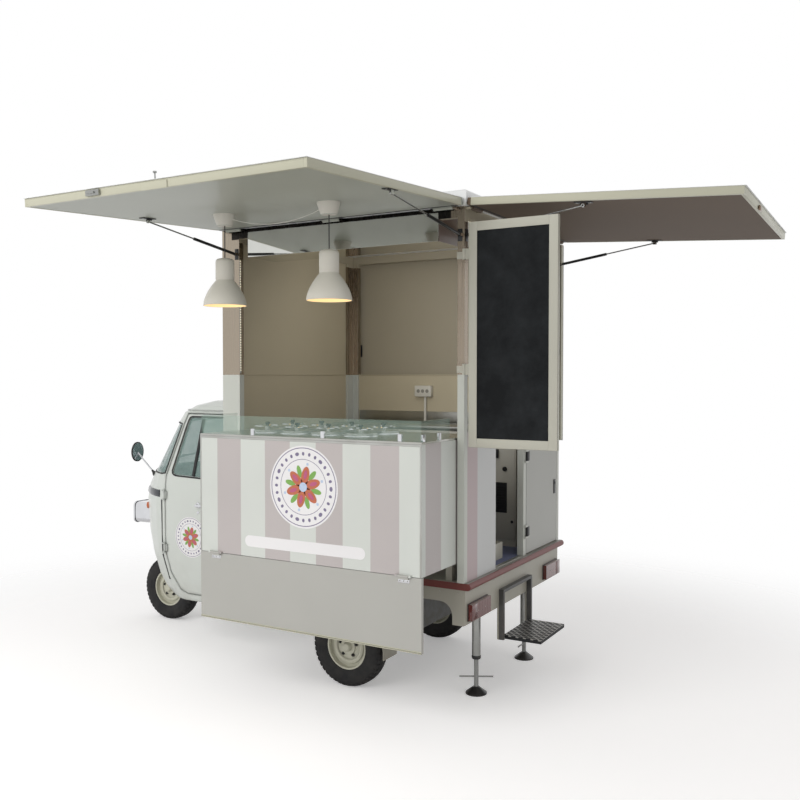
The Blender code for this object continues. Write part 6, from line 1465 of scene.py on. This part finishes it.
spot, outward = around(shell_skin, WIPER_TURN, WIPER_Z)
lathe(pivot, [(0.012, -0.002), (0.012, 0.010), (0.008, 0.020), (0, 0.022)], spot, outward, 24)
piece("windscreen_wiper", [(wiper, dark_plastic), (pivot, dark_plastic)], "body")

# Handlebar grips: black rubber sleeves with a flange at the inner end and a slight waist.
# They are pushed over the ends of the bar and turn with it.
GRIP_Y = -1.786
GRIP_Z = 1.110
grips = bmesh.new()
for side in (1, -1):
    lathe(grips, [(0.0132, 0.150), (0.024, 0.150), (0.024, 0.154), (0.0165, 0.157), (0.0170, 0.200),
                  (0.0165, 0.268), (0.012, 0.2715), (0, 0.2720)], (0, GRIP_Y, GRIP_Z), (side, 0, 0), 28)
piece("handlebar_grips", [(grips, cord_rubber)], "fork")

# Bench seat: a cushion and a back of foam under black vinyl, on a painted steel box.
# The foam swells the vinyl between its edges.
SWELL_LIMIT = 0.005
PAD_ROUND = 0.022
VOXEL = 0.010
PRESSURE = 4
SWELL_FRAMES = 20
SEAT_X = 0.420
SEAT_BACK_Y = -0.966
CUSHION = ((-SEAT_X, -1.360, 0.600), (SEAT_X, SEAT_BACK_Y, 0.722))
BACK_REST = ((-SEAT_X, -1.056, 0.700), (SEAT_X, SEAT_BACK_Y, 1.150))


def swollen(low, high):
    """A rounded pad, remeshed finely and blown up a little by a cloth pressure run."""
    inset = Vector((SWELL_LIMIT, SWELL_LIMIT, SWELL_LIMIT))
    shape = block(bmesh.new(), Vector(low) + inset, Vector(high) - inset, PAD_ROUND)
    coarse = bpy.data.meshes.new("pad")
    shape.to_mesh(coarse)
    shape.free()
    held = bpy.data.objects.new("pad", coarse)
    bpy.context.scene.collection.objects.link(held)
    fine = held.modifiers.new("fine", "REMESH")
    fine.mode = "VOXEL"
    fine.voxel_size = VOXEL
    rest = bpy.data.meshes.new_from_object(held.evaluated_get(bpy.context.evaluated_depsgraph_get()))
    held.modifiers.remove(fine)
    held.data = rest
    starts = [vertex.co.copy() for vertex in rest.vertices]
    cloth = held.modifiers.new("swell", "CLOTH")
    cloth.settings.use_pressure = True
    cloth.settings.uniform_pressure_force = PRESSURE
    cloth.settings.effector_weights.gravity = 0
    for number in range(1, SWELL_FRAMES + 1):
        bpy.context.scene.frame_set(number)
    blown = bpy.data.meshes.new_from_object(held.evaluated_get(bpy.context.evaluated_depsgraph_get()))
    held.modifiers.remove(cloth)
    bpy.context.scene.frame_set(1)
    for vertex, start, swelled in zip(rest.vertices, starts, blown.vertices):
        move = swelled.co - start
        vertex.co = start + move * min(1, SWELL_LIMIT / max(move.length, SWELL_LIMIT / 1000))
    made = bmesh.new()
    made.from_mesh(rest)
    bpy.data.objects.remove(held)
    return made


vinyl = rubber("seat_black_vinyl", "#1B1B1E", 3.0, 0.42, "#2B2B2E")
parts = [(swollen(*CUSHION), vinyl), (swollen(*BACK_REST), vinyl)]
pads = piece("bench_seat_pads", parts, "body", smooth=60)
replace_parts(pads, "bench_seat")
seat_box = block(bmesh.new(), (-0.340, -1.270, 0.3905), (0.340, -1.011, 0.606), 0.004)
block(seat_box, (-0.400, -1.340, 0.5985), (0.400, -0.975, 0.6055), 0.002)
piece("bench_seat_box", [(seat_box, chassis_black)], "body")
